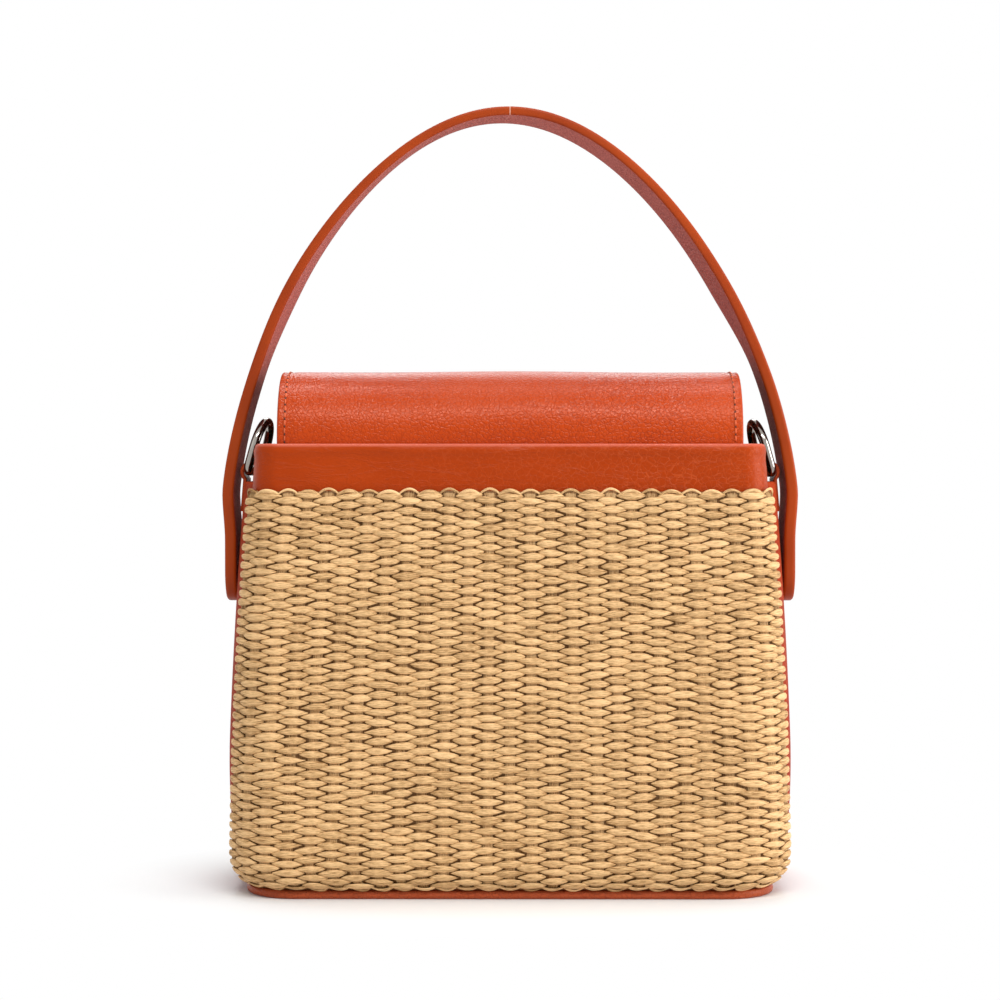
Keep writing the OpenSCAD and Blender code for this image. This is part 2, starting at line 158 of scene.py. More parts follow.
def rounded_bar(width: float, low: float, high: float, r: float, across: int = 24) -> np.ndarray:
    """Loop of a flat bar's section with round edges.

    The loop runs along the top from one side to the other, round a quarter circle at each corner
    and back along the bottom, so that point i lies over the point as far from the loop's end.

    Args:
        width: Full width.
        low: Height of the lower face.
        high: Height of the upper face.
        r: Radius of the edges, at most half the thickness.
        across: Spans along each face.

    Returns:
        Points as (count, 2): across, then up.
    """
    r = min(r, (high - low) / 2 - 1e-3)
    flat = np.linspace(-width / 2 + r, width / 2 - r, across + 1)
    turn = np.radians([22.5, 45, 67.5, 90])
    right = np.stack([width / 2 - r + r * np.sin(turn), high - r + r * np.cos(turn)], -1)
    left = right[::-1] * (-1, 1)
    top = np.vstack([left, np.stack([flat, np.full_like(flat, high)], -1), right])
    bottom = top[::-1].copy()
    bottom[:, 1] = low + high - bottom[:, 1]
    return np.vstack([top, bottom])


def resampled(line: np.ndarray, step: float) -> np.ndarray:
    """Points at equal steps of length along a polyline, with its ends kept."""
    run = lengths(line)
    s = np.linspace(0, run[-1], max(2, int(round(run[-1] / step)) + 1))
    return np.stack([np.interp(s, run, line[:, k]) for k in range(line.shape[1])], -1)


def tangents(line: np.ndarray, ring: bool = False) -> np.ndarray:
    """Unit directions along a line from the points on either side."""
    if ring:
        d = np.roll(line, -1, 0) - np.roll(line, 1, 0)
    else:
        d = np.gradient(line, axis=0)
    return d / np.linalg.norm(d, axis=1, keepdims=True)


def lengths(line: np.ndarray) -> np.ndarray:
    """Length run along a line up to each of its points."""
    return np.concatenate([[0], np.cumsum(np.linalg.norm(np.diff(line, axis=0), axis=1))])


# Pieces


class Body(Enum):
    """The bodies that pieces ride on."""

    BODY = "body"
    FLAP = "flap"
    HANDLE = "handle"
    LEFT_RING = "left_ring"
    RIGHT_RING = "right_ring"


class Slot(Enum):
    """Names of material slots, which no piece here uses."""

    LEATHER = "leather"
    RAFFIA = "raffia"
    CLOTH = "lining_cloth"
    METAL = "metal"


def write_piece(name: str, surface: Surface, material: bpy.types.Material,
                body: Body | None = None, replaces: tuple[str, ...] = ()) -> bpy.types.Object:
    """Writes a surface into a mesh object and says what it rides on and stands for.

    Args:
        name: The piece's name.
        surface: Its surface in millimetres.
        material: Its material.
        body: The body that it rides on, or None for none.
        replaces: CAD nodes that it stands for.

    Returns:
        The new object, at the origin.
    """
    mesh = bpy.data.meshes.new(name)
    corners = np.concatenate([f.ravel() for f in surface.faces]).astype(np.int32)
    sizes = np.concatenate([np.full(len(f), f.shape[1]) for f in surface.faces])
    mesh.vertices.add(len(surface.points))
    mesh.vertices.foreach_set("co", (surface.points * MM).astype(np.float32).ravel())
    mesh.loops.add(len(corners))
    mesh.loops.foreach_set("vertex_index", corners)
    mesh.polygons.add(len(sizes))
    mesh.polygons.foreach_set("loop_start", (np.cumsum(sizes) - sizes).astype(np.int32))
    mesh.update(calc_edges=True)
    if surface.uv is not None:
        layer = mesh.uv_layers.new(name="UVMap")
        layer.data.foreach_set("uv", surface.uv[corners].astype(np.float32).ravel())
    if surface.tone is not None:
        tone = mesh.attributes.new("tone", "FLOAT", "POINT")
        tone.data.foreach_set("value", surface.tone.astype(np.float32))
    mesh.polygons.foreach_set("use_smooth", np.ones(len(sizes), bool))
    mesh.materials.append(material)
    mesh.validate()
    piece = bpy.data.objects.new(name, mesh)
    bpy.context.scene.collection.objects.link(piece)
    if replaces:
        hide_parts(*replaces)
    if body is not None:
        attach(piece, body.value)
    LOG.info("%s: %d points, %d faces", name, len(surface.points), len(sizes))
    return piece


# Finishes


Link = tuple[bpy.types.Node, int | str]
Colour = tuple[float, float, float]
WHITE = (1, 1, 1, 1)


def linked(value: object) -> bool:
    """True for a node with one of its sockets, and not for a plain value."""
    return isinstance(value, tuple) and isinstance(value[0], bpy.types.Node)


class Graph:
    """The node tree of a material or the world, whose methods take plain values or links."""

    def __init__(self, owner: bpy.types.Material | bpy.types.World) -> None:
        """Starts an empty tree with an output node."""
        self.owner = owner
        owner.use_nodes = True
        self.tree = owner.node_tree
        self.tree.nodes.clear()
        kind = "World" if isinstance(owner, bpy.types.World) else "Material"
        self.output = self.tree.nodes.new("ShaderNodeOutput" + kind)

    @classmethod
    def named(cls, name: str) -> "Graph":
        """The tree of a new material."""
        return cls(bpy.data.materials.new(name))

    def add(self, kind: str, values: dict | None = None, **settings) -> bpy.types.Node:
        """Adds a node.

        Args:
            kind: The node's type without its "ShaderNode" prefix.
            values: Socket names or numbers with a value, or with a (node, socket) pair to link.
            **settings: The node's own settings.

        Returns:
            The new node.
        """
        node = self.tree.nodes.new("ShaderNode" + kind)
        for key, value in settings.items():
            setattr(node, key, value)
        for key, value in (values or {}).items():
            if linked(value):
                self.tree.links.new(value[0].outputs[value[1]], node.inputs[key])
            else:
                node.inputs[key].default_value = value
        return node

    def place(self) -> Link:
        """The place on the piece in metres."""
        return self.add("TexCoord"), "Object"

    def tone(self) -> Link:
        """The piece's tone attribute."""
        return self.add("Attribute", attribute_name="tone"), "Fac"

    def noise(self, place: Link, scale: float, detail: float = 2.0,
              values: dict | None = None) -> Link:
        """Soft noise, with other socket values if need be."""
        sockets = {"Vector": place, "Scale": scale, "Detail": detail} | (values or {})
        return self.add("TexNoise", sockets), "Fac"

    def ramp(self, factor: Link, stops: list[tuple[float, Colour]]) -> Link:
        """A colour ramp through stops of (position, colour)."""
        node = self.add("ValToRGB", {"Fac": factor})
        elements = node.color_ramp.elements
        for k, (place, colour) in enumerate(stops):
            element = elements[k] if k < 2 else elements.new(place)
            element.position = place
            element.color = (*colour, 1)
        return node, "Color"

    def value_ramp(self, factor: Link, low: float, high: float, out_low: float = 0.0,
                   out_high: float = 1.0) -> Link:
        """Maps a factor's range low to high onto out_low to out_high, clamped."""
        return self.add("MapRange", {"Value": factor, "From Min": low, "From Max": high,
                                     "To Min": out_low, "To Max": out_high}), 0

    def math(self, operation: str, a: Link | float, b: Link | float = 0.0) -> Link:
        """A math node on two values or links."""
        return self.add("Math", {0: a, 1: b}, operation=operation), 0

    def mixed(self, factor: Link, a: Link | Colour, b: Link | Colour) -> Link:
        """A mix of two colours."""
        a, b = (v if linked(v) else (*v, 1) for v in (a, b))
        return self.add("Mix", {0: factor, 6: a, 7: b}, data_type="RGBA"), 2

    def finish(self, shader: Link) -> bpy.types.Material | bpy.types.World:
        """Links the shader to the output and returns the tree's owner."""
        self.tree.links.new(shader[0].outputs[shader[1]], self.output.inputs["Surface"])
        return self.owner

    def surface(self, colour: Link | tuple, roughness: Link | float, height: Link, depth: float,
                values: dict | None = None, strength: Link | float = 1.0) -> bpy.types.Material:
        """Ends the tree in one shaded surface.

        Args:
            colour: Base colour.
            roughness: Roughness.
            height: What raises the bump.
            depth: The bump's full height in millimetres.
            values: Other values of the shader's sockets.
            strength: Strength of the bump.

        Returns:
            The material.
        """
        bump = self.add("Bump", {"Height": height, "Distance": depth * MM, "Strength": strength})
        sockets = {"Base Color": colour, "Roughness": roughness, "Normal": (bump, 0)}
        sockets |= values or {}
        return self.finish((self.add("BsdfPrincipled", sockets), 0))


class Finish(Protocol):
    """A finish that makes one material."""

    def material(self) -> bpy.types.Material:
        """Builds the material."""


@dataclass(frozen=True)
class PebbledLeather:
    """Dyed leather with a pebbled grain: rounded cells parted by narrow creases, a finer grain on
    them, and long soft wrinkles where it is folded.

    Colours are those of the cells; of the creases, as painted shade (on the collar lighter, as
    painted highlight); of the worn cloudy patches; and of a painted highlight on the rim over
    top_edge.
    Pebble and depth are the cells' size and height in millimetres.
    """

    name: str
    colour: Colour = (0.54, 0.058, 0.003)
    painted_crease_shading: Colour = (0.44, 0.040, 0.002)
    bloom: Colour = (0.60, 0.078, 0.008)
    painted_rim_highlight: Colour = (0.62, 0.14, 0.09)
    pebble: float = 1.9
    crease: float = 0.16
    depth: float = 0.10
    roughness: float = 0.34
    specular: float = 0.34
    sheen_tint: Colour = (1.0, 0.72, 0.60)
    wrinkle: float = 0.0
    left_grain: float = 1.0
    top_edge: float = 0.0

    def cells(self, g: Graph, place: Link, size: float) -> Link:
        """Height of one layer of cells: 0 in the creases between them and 1 on their crowns."""
        warp = g.add("TexNoise", {"Vector": place, "Scale": 0.35 / (size * MM), "Detail": 2.0})
        shift = g.add("VectorMath", {0: (warp, "Color"), 3: 0.9 * size * MM}, operation="SCALE")
        bent = g.add("VectorMath", {0: place, 1: (shift, 0)}, operation="ADD")
        edge = g.add("TexVoronoi", {"Vector": (bent, 0), "Scale": 1 / (size * MM)},
                     feature="DISTANCE_TO_EDGE")
        return g.add("MapRange", {"Value": (edge, "Distance"), "From Max": self.crease},
                     interpolation_type="SMOOTHERSTEP"), 0

    def material(self) -> bpy.types.Material:
        """Builds the leather's material on Object coordinates."""
        g = Graph.named(self.name)
        place = g.place()
        crown = g.math("ADD", g.math("MULTIPLY", self.cells(g, place, self.pebble), 0.62),
                       g.math("MULTIPLY", self.cells(g, place, self.pebble * 1.6), 0.38))
        fine = g.noise(place, 2.8 / (self.pebble * MM), 3.0)
        broad = g.noise(place, 24.0, 3.0)
        axes = g.add("SeparateXYZ", {"Vector": place})
        side = g.value_ramp((axes, "X"), -0.07, 0.05, self.left_grain, 1.0)
        # The crease colour fills the creases as painted shade, and on the collar, where it is
        # lighter, as a painted highlight; the mark is weaker to the left by left_grain.
        deep = g.math("MULTIPLY", g.value_ramp(crown, 0.1, 0.75, 1.0, 0.0), side)
        colour = g.mixed(g.value_ramp(broad, 0.45, 0.75, 0.0, 0.6),
                         g.mixed(deep, self.colour, self.painted_crease_shading), self.bloom)
        # Above top_edge a paler colour is mixed in: a painted highlight along the rim.
        if self.top_edge:
            rim = g.value_ramp((axes, "Z"), self.top_edge, self.top_edge + 0.001, 0.0, 0.6)
            colour = g.mixed(rim, colour, self.painted_rim_highlight)
        height = g.math("MULTIPLY", g.math("ADD", g.math("MULTIPLY", fine, 0.3), crown), side)
        if self.wrinkle:
            along = g.add("Mapping", {"Vector": place, "Scale": (55.0, 55.0, 210.0),
                                      "Rotation": (0.0, 0.35, 0.0)})
            folds = g.noise((along, 0), 1.0, 5.0, {"Distortion": 1.2})
            ridge = g.math("ABSOLUTE", g.math("SUBTRACT", folds, 0.5))
            height = g.math("ADD", height, g.value_ramp(ridge, 0.0, 0.045, -self.wrinkle, 0.0))
        gloss = g.value_ramp(broad, 0.3, 0.7, self.roughness - 0.05, self.roughness + 0.07)
        return g.surface(colour, gloss, height, self.depth, {
            "Specular IOR Level": self.specular, "Specular Tint": (*self.sheen_tint, 1)})


@dataclass(frozen=True)
class StrapLeather:
    """The strap's leather by the tone attribute, which is 1 on the outer face, 0.5 on the edges
    and 0 on the napped inner face, with a pale crack over the crown, where UV's X is 0."""

    name: str = "strap_leather_all"
    outer: tuple[Colour, Colour] = ((0.44, 0.05, 0.01), (0.28, 0.03, 0.008))
    edge: tuple[Colour, Colour] = ((0.34, 0.045, 0.004), (0.26, 0.030, 0.003))
    # The inner face's pale pink, flecked over its dark leather, is painted sheen.
    inner: tuple[Colour, Colour] = ((0.50, 0.15, 0.12), (0.27, 0.06, 0.048))
    crack: Colour = (0.80, 0.55, 0.45)
    depth: float = 0.22

    def material(self) -> bpy.types.Material:
        """Builds the three leathers, mixed by the tone."""
        g = Graph.named(self.name)
        place, tone = g.place(), g.tone()
        grain = g.add("TexVoronoi", {"Vector": place, "Scale": 850.0}, feature="SMOOTH_F1")
        cells = grain, "Distance"
        outer = g.mixed(cells, *self.outer)
        edge = g.mixed(g.value_ramp(g.noise(place, 30.0, 4.0), 0.35, 0.7), *self.edge)
        # Pale pink flecks on the dark inner face: painted sheen.
        inner = g.mixed(g.value_ramp(g.noise(place, 1500.0, 3.0), 0.38, 0.62), *self.inner)
        colour = g.mixed(g.value_ramp(tone, 0.7, 0.8),
                         g.mixed(g.value_ramp(tone, 0.2, 0.3), inner, edge), outer)
        from_edge = g.math("ABSOLUTE", g.math("SUBTRACT", tone, 0.5))
        along = g.add("SeparateXYZ", {"Vector": (g.add("UVMap"), "UV")})
        crown = g.value_ramp(g.math("ABSOLUTE", (along, "X")), 0.1, 0.3, 1.0, 0.0)
        crack = g.math("MULTIPLY", crown, g.value_ramp(from_edge, 0.1, 0.3, 0.5, 0.06))
        height = g.math("ADD", g.math("MULTIPLY", cells, -1.0),
                        g.math("MULTIPLY", g.noise(place, 800.0, 4.0), 0.5))
        roughness = g.value_ramp(tone, 0.1, 0.5, 0.75, 0.42)
        return g.surface(g.mixed(crack, colour, self.crack), roughness, height, self.depth,
                         {"Specular IOR Level": 0.14}, g.value_ramp(from_edge, 0.1, 0.4, 0.1, 1.0))


@dataclass(frozen=True)
class Stitching:
    """Slightly uneven dye for the stitches, and in near black the painted shade in their holes."""

    name: str
    colour: Colour
    roughness: float

    def material(self) -> bpy.types.Material:
        """Builds the material from two noises, one for the shade and one for the ripples."""
        g = Graph.named(self.name)
        place = g.place()
        colour = g.mixed(g.value_ramp(g.noise(place, 60.0, 3.0), 0.35, 0.7), self.colour,
                         tuple(0.7 * c for c in self.colour))
        return g.surface(colour, self.roughness, g.noise(place, 700.0), 0.06)


@dataclass(frozen=True)
class Raffia:
    """Twisted palm fibre: fine straws along each strand, each strand of its own tone.

    UV runs in millimetres along and across the strand, and the tone attribute is the strand's own
    tone, which on the floats is darkened towards their tips as painted shade.
    Straw is a straw's width and depth its height, in millimetres.
    """

    name: str
    light: Colour = (0.82, 0.53, 0.255)
    middle: Colour = (0.58, 0.345, 0.145)
    dark: Colour = (0.27, 0.135, 0.04)
    straw: float = 0.34
    depth: float = 0.30

    def material(self) -> bpy.types.Material:
        """Builds the material: a noise drawn out along the strand gives its straws."""
        g = Graph.named(self.name)
        uv = (g.add("UVMap"), "UV")
        drawn, fibre = (g.add("Mapping", {"Vector": uv, "Scale": scale}) for scale in (
            (0.09 / self.straw, 1 / self.straw, 1.0), (0.8, 9.0, 1.0)))
        straws = g.noise((drawn, 0), 1.0, 3.0, {"Roughness": 0.6})
        mix = g.math("ADD", g.math("MULTIPLY", straws, 0.75),
                     g.math("MULTIPLY", g.noise((fibre, 0), 1.0), 0.25))
        tone = g.math("MULTIPLY", g.math("SUBTRACT", g.tone(), 0.5), 0.32)
        colour = g.ramp(g.math("ADD", mix, tone),
                        [(0.35, self.dark), (0.57, self.light), (0.46, self.middle)])
        return g.surface(colour, 0.62, mix, self.depth, {"Specular IOR Level": 0.32}, 0.9)


@dataclass(frozen=True)
class Cloth:
    """Plain woven cloth: two crossed waves, one thread apart in millimetres."""

    name: str
    colour: Colour = (0.42, 0.29, 0.17)
    thread: float = 0.6

    def material(self) -> bpy.types.Material:
        """Builds the material from waves along X and Z."""
        g = Graph.named(self.name)
        values = {"Vector": g.place(), "Scale": 1 / (self.thread * MM) / 20, "Distortion": 0.6}
        across, up = ((g.add("TexWave", values, bands_direction=way), "Fac") for way in "XZ")
        weave = g.math("MULTIPLY", across, up)
        colour = g.mixed(weave, tuple(0.6 * c for c in self.colour), self.colour)
        return g.surface(colour, 0.85, weave, 0.1)


@dataclass(frozen=True)
class PolishedMetal:
    """Polished metal with faint wear."""

    name: str
    colour: Colour = (0.34, 0.31, 0.28)
    roughness: float = 0.12

    def material(self) -> bpy.types.Material:
        """Builds the material: fine noise varies its gloss and its surface a little."""
        g = Graph.named(self.name)
        rub = g.noise(g.place(), 260.0, 4.0)
        gloss = g.value_ramp(rub, 0.35, 0.75, self.roughness * 0.7, self.roughness * 1.6)
        return g.surface((*self.colour, 1), gloss, rub, 0.01, {"Metallic": 1.0}, 0.4)


def made(finish: Finish) -> bpy.types.Material:
    """A field that holds a finish's material."""
    return field(default_factory=finish.material)


@dataclass
class Finishes:
    """Every material of the bag, made once."""

    flap: bpy.types.Material = made(PebbledLeather(
        "flap_leather", colour=(0.43, 0.041, 0.0004), painted_crease_shading=(0.33, 0.028, 0.0004),
        bloom=(0.47, 0.050, 0.001), pebble=1.5, crease=0.2, depth=0.12, roughness=0.27,
        specular=0.29, left_grain=0.75))
    # The sole's leather is browner and a little darker than the flap's: partly its own tone, partly
    # painted shade.
    sole: bpy.types.Material = made(PebbledLeather(
        "sole_leather", colour=(0.39, 0.070, 0.021), painted_crease_shading=(0.30, 0.045, 0.012),
        bloom=(0.42, 0.080, 0.026), pebble=1.5, depth=0.12, specular=0.27))
    # The collar's lighter crease colour is a painted highlight, and so is the paler rim above 170.6
    # mm.
    collar: bpy.types.Material = made(PebbledLeather(
        "collar_leather", colour=(0.335, 0.033, 0.0004), painted_crease_shading=(0.41, 0.056, 0.010),
        bloom=(0.385, 0.041, 0.001), pebble=2.4, crease=0.1, depth=0.08, roughness=0.33,
        specular=0.2, wrinkle=-0.7, left_grain=0.12, top_edge=0.1706))
    # The side panels' leather is darker than the flap's: painted shade.
    side: bpy.types.Material = made(PebbledLeather(
        "side_painted_shade_leather", colour=(0.34, 0.034, 0.006), painted_crease_shading=(0.22, 0.02, 0.004),
        bloom=(0.40, 0.045, 0.008), roughness=0.5, specular=0.05))
    loop: bpy.types.Material = made(PebbledLeather(
        "loop_leather", colour=(0.42, 0.05, 0.01), painted_crease_shading=(0.26, 0.028, 0.006),
        bloom=(0.48, 0.07, 0.02), pebble=1.2, specular=0.2))
    inside: bpy.types.Material = made(PebbledLeather(
        "inner_leather", colour=(0.36, 0.085, 0.05), painted_crease_shading=(0.24, 0.05, 0.028),
        bloom=(0.42, 0.12, 0.08), pebble=0.9, roughness=0.6, specular=0.15))
    strap: bpy.types.Material = made(StrapLeather())
    thread: bpy.types.Material = made(Stitching("stitch_thread", (0.62, 0.10, 0.02), 0.6))
    # The holes are near-black spindles: painted shade in the stitch holes.
    hole: bpy.types.Material = made(Stitching("painted_hole_shade", (0.09, 0.016, 0.006), 0.8))
    raffia: bpy.types.Material = made(Raffia("raffia_floats"))
    # The warps are the floats' raffia coloured darker: painted shade of the hollows they lie in.
    warp: bpy.types.Material = made(Raffia(
        "painted_shade_warps", (0.50, 0.31, 0.14), (0.36, 0.20, 0.075), (0.17, 0.08, 0.022), straw=0.45))
    # A dark brown sheet behind the weave: painted shade seen through its gaps.
    painted_shade_sheet: bpy.types.Material = made(Raffia(
        "raffia_painted_shade_sheet", (0.26, 0.13, 0.045), (0.18, 0.085, 0.025), (0.10, 0.045, 0.012)))
    cloth: bpy.types.Material = made(Cloth("lining_cloth"))
    board: bpy.types.Material = made(Cloth("grey_board", (0.30, 0.27, 0.23), 1.4))
    metal: bpy.types.Material = made(PolishedMetal("polished_metal"))


# The body's form, as the frame has it


@dataclass(frozen=True)
class BodyForm:
    """The tapered body that every panel follows, with the frame's own sizes."""

    base_w: float = 211.0
    top_w: float = 196.6
    base_d: float = 90.8
    top_d: float = 78.8
    weave_top: float = 154.0
    taper_power: float = 1.8
    corner_r: float = 20.0
    collar_corner_r: float = 9.0
    corner_turn: float = math.radians(80)
    foot_r: float = 16.0
    side_swell: float = 4.6
    swell_h: float = 60.0
    flat_share: float = 0.5
    seam_gap: float = 0.3
    wall_t: float = 2.4
    collar_top: float = 172.0
    gusset_top: float = 157.5
    base_t: float = 3.4
    base_lip: float = 2.0

    def foot_in(self, z: np.ndarray) -> np.ndarray:
        """How far the round foot draws a wall in: r - sqrt(r^2 - (r - z)^2) below z = r."""
        down = np.clip(self.foot_r - z, 0, self.foot_r)
        return self.foot_r - np.sqrt(self.foot_r ** 2 - down ** 2)

    def half_w(self, z: np.ndarray) -> np.ndarray:
        """Half width, drawn in by the power taper_power of the height."""
        draw = (self.base_w - self.top_w) / 2
        share = (np.maximum(z, 0) / self.weave_top) ** self.taper_power
        return self.base_w / 2 - self.foot_in(z) - draw * share

    def half_d(self, z: np.ndarray) -> np.ndarray:
        """Half depth, drawn in evenly with the height."""
        draw = (self.base_d - self.top_d) / 2
        return self.base_d / 2 - self.foot_in(z) - draw * z / self.weave_top

    def corner(self, z: np.ndarray) -> np.ndarray:
        """Radius of the upright corners at a height."""
        return self.corner_r - (self.corner_r - self.collar_corner_r) * z / self.collar_top

    def swell(self, z: np.ndarray) -> np.ndarray:
        """Outward swell of the side panels: a quarter sine up to swell_h."""
        return self.side_swell * np.sin(np.pi / 2 * np.minimum(1, z / self.swell_h))

    def side_x(self, z: float) -> float:
        """Distance of the side panel's middle from the bag's middle."""
        return float(self.half_w(np.float64(z)) + self.swell(np.float64(z)))

    def wrap(self, share: np.ndarray, z: np.ndarray, out: np.ndarray) -> np.ndarray:
        """Points on a broad wall on the rear.

        A share of the wall's length runs along the flat, then round the corner's arc.

        Args:
            share: Place along the wall from -1 at its left end to 1 at its right end.
            z: Height.
            out: Distance outwards from the wall's face.

        Returns:
            Points with the shape of the arguments and a last axis of 3.
        """
        share, z, out = np.broadcast_arrays(share, z, out)
        r = self.corner(z)
        flat = self.half_w(z) - r
        run = np.abs(share) * (flat + r * self.corner_turn)
        turn = np.maximum(0, run - flat) / r
        x = np.where(run <= flat, run, flat + (r + out) * np.sin(turn))
        y = -(self.half_d(z) - r + (r + out) * np.cos(turn))
        return np.stack([np.sign(share) * x, y, z], -1)

    def length(self, z: float) -> float:
        """Length of a broad wall's line at a height."""
        r = self.corner(z)
        return float(2 * (self.half_w(np.float64(z)) - r + r * self.corner_turn))

    def flank(self, share: np.ndarray, z: np.ndarray, out: np.ndarray) -> np.ndarray:
        """Points on the right side panel.

        Between shares -1 and 1 the panel swells by a sine up to its flat middle, and past them
        it runs round the corner's last degrees to the seam.

        Args:
            share: Place along the panel, up to 1.1 past the corners.
            z: Height.
            out: Distance outwards from the panel's face.

        Returns:
            Points with the shape of the arguments and a last axis of 3.
        """
        share, z, out = np.broadcast_arrays(share, z, out)
        r = self.corner(z)
        inner = np.minimum(1, (1 - np.minimum(1, np.abs(share))) / (1 - self.flat_share))
        bulge = self.swell(z) * np.sin(np.pi / 2 * inner)
        seam = np.pi / 2 - self.corner_turn - self.seam_gap / r
        turn = np.clip((np.abs(share) - 1) / 0.1, 0, 1) * seam
        deep = self.half_d(z) - r
        x = self.half_w(z) - r + (r + out) * np.cos(turn) + bulge
        y = np.sign(share) * (np.minimum(1, np.abs(share)) * deep + (r + out) * np.sin(turn))
        return np.stack([x, y, z], -1)


# Woven panels


@dataclass(frozen=True)
class FloatSpread:
    """Standard deviations of the floats' small differences, in the order in which they are drawn:
    of length and height as shares, of place, tilt and lift in millimetres, then of the section's
    lean, the thickest place, the bend and the tone."""

    wide: float = 0.05
    tall: float = 0.06
    shift: float = 0.08
    tilt: float = 0.20
    lift: float = 0.10
    lean: float = 0.18
    skew: float = 0.14
    bend: float = 0.11
    tone: float = 0.08


@dataclass(frozen=True)
class EdgeLoop:
    """An edge loop's form in millimetres: its height, how far inside the edge it starts, how far
    its middle stands over its ends, and its strand's radius."""

    tall: float
    inside: float
    rise: float
    radius: float


@dataclass
class WovenPanel:
    """A woven raffia panel: lens-shaped floats in columns half a row apart, over upright warps,
    with looped edges above and below.

    Reach is a float's half length in column pitches, half_height its half height, crown and tip
    how far its middle and its ends stand out, and drift and sway the rows' and columns' slow waves.
    The edge loops of every other column differ.
    """

    form: BodyForm
    finishes: Finishes
    spread: FloatSpread = FloatSpread()
    columns: int = 27
    rows: int = 42
    foot: float = 3.8
    reach: float = 0.69
    half_height: float = 1.46
    crown: float = 2.65
    tip: float = 1.4
    drift: float = 0.16
    sway: float = 0.025
    deepest: float = 0.45
    warp_share: float = 0.24
    warp_back: float = 0.42
    warp_front: float = 1.65
    loop_reach: float = 0.60
    even_loop: EdgeLoop = EdgeLoop(3.15, 2.35, 0.75, 0.5)
    odd_loop: EdgeLoop = EdgeLoop(2.15, 2.0, 1.10, 0.725)

    @property
    def half_length(self) -> float:
        """Half the length of the wall's line at mid height, which one share spans."""
        return self.form.length(80) / 2

    def centres(self) -> tuple[np.ndarray, np.ndarray, float, float]:
        """Shares of the columns, heights of the floats as (columns, rows), and both pitches."""
        pitch = 2 / self.columns
        share = -1 + pitch * (np.arange(self.columns) + 0.5)
        rise = (self.form.weave_top - self.foot) / (self.rows + 0.5)
        half = 0.5 * (np.arange(self.columns) % 2)
        z = self.foot + rise * (np.arange(self.rows)[None] + 0.5 + half[:, None])
        return share, z, pitch, rise

    def floats(self, rng: np.random.Generator) -> Surface:
        """Floats as closed spindles.

        Along a float, t runs from -1 to 1: its height is (1 - t^2)^0.62 of the full height, with
        the thickest place a little aside, its middle line rises by the cosine of a quarter turn
        and bends by 1 - t^2, and its section is an ellipse.

        Args:
            rng: Seeded source of each float's small differences.

        Returns:
            All floats as one surface.
        """
        share, z, pitch, _ = self.centres()
        t = np.array([-1, -0.88, -0.68, -0.36, 0, 0.36, 0.68, 0.88, 1.0]).reshape(1, -1, 1)
        a = np.radians(np.arange(8) * 45)
        one = (z.size, 1, 1)
        wide, tall, shift, tilt, lift, lean, skew, bend, tone = (
            rng.normal(0, s, one) for s in astuple(self.spread))
        column = np.arange(self.columns)[:, None]
        s0 = (share[:, None] + pitch * self.sway * np.sin(column * 1.7 + z / 9)).reshape(one)
        z0 = (z + self.drift * np.sin(column * 0.9 + z / 14)).reshape(one) + shift
        bow = 1 - t ** 2
        bell = np.maximum(0.05, 1 - np.clip(t + skew * bow, -1, 1) ** 2) ** 0.62
        height = self.half_height * (1 + tall) * bell * np.sin(a)
        rise = np.cos(np.pi / 2 * t) ** 0.8
        half = (self.crown - self.tip) / 2
        out = (self.tip + (half + lift) * rise
               + (half * (0.25 + 0.75 * bell) + 0.1) * np.cos(a) * (1 + lean * np.sin(a)))
        grid = self.form.wrap(s0 + pitch * self.reach * (1 + wide) * t,
                              z0 + height + tilt * t + bend * bow, np.maximum(self.deepest, out))
        start = rng.uniform(0, 50, one)
        uv = np.stack(np.broadcast_arrays(self.half_length * pitch * self.reach * t + start,
                                          height * 1.1 + start * 0.37), -1)
        # The float's own tone, less 0.2 |t|^3: painted shade darkening its tips.
        shade = np.clip(0.5 + tone, 0, 1) - 0.2 * np.abs(t) ** 3
        return tube(grid, uv, np.broadcast_to(shade, grid.shape[:3]))

    def warps(self, rng: np.random.Generator) -> Surface:
        """Upright warps as flat closed bands with five ridges each, their tops rounded over."""
        share, _, pitch, rise = self.centres()
        top = self.form.weave_top
        z = np.linspace(self.foot + 0.3, top + 0.2, 2 * self.rows + 1).reshape(1, -1, 1)
        across = np.linspace(-1, 1, 12)
        front = self.warp_front + 0.16 * np.cos(across * 4.5 * np.pi) - 0.6 * across ** 4
        loop_s = np.concatenate([across, across[::-1]])
        loop_o = np.concatenate([front, np.full(12, self.warp_back)])
        one = (len(share), 1, 1)
        width = pitch * self.warp_share * (1 + rng.normal(0, 0.06, one))
        wave = 0.10 * np.sin(2 * np.pi * z / rise + rng.uniform(0, 6, one))
        fan = 1 + 0.45 * smooth_step(z, top - 2.5, top)
        ease = 1 - 0.6 * smooth_step(z, top - 1.2, top + 0.2)
        out = self.warp_back + (loop_o - self.warp_back + wave * (loop_o > 0.5)) * ease
        grid = self.form.wrap(share.reshape(one) + width * fan * loop_s, z, out)
        start = rng.uniform(0, 50, one)
        across_mm = self.half_length * pitch * self.warp_share * loop_s
        uv = np.stack(np.broadcast_arrays(z + start, across_mm + start), -1)
        tone = np.clip(0.5 + rng.normal(0, 0.15, one), 0, 1)
        return tube(grid, uv, np.broadcast_to(tone, grid.shape[:3]))

    def painted_shade_sheet(self) -> Surface:
        """A thin closed dark sheet behind the warps, 0.08 mm to 0.85 mm off the leather: painted
        shade in the weave's gaps.
        """
        s = np.linspace(-0.995, 0.995, 60)[:, None]
        z = np.linspace(self.foot, self.form.weave_top - 0.1, 30)
        loop_z = np.concatenate([z, z[::-1]])[None]
        grid = self.form.wrap(s, loop_z, np.repeat([0.85, 0.08], 30)[None])[None]
        uv = np.stack(np.broadcast_arrays(loop_z, 100 * s), -1)[None]
        return tube(grid, uv, np.full(grid.shape[:3], 0.5))

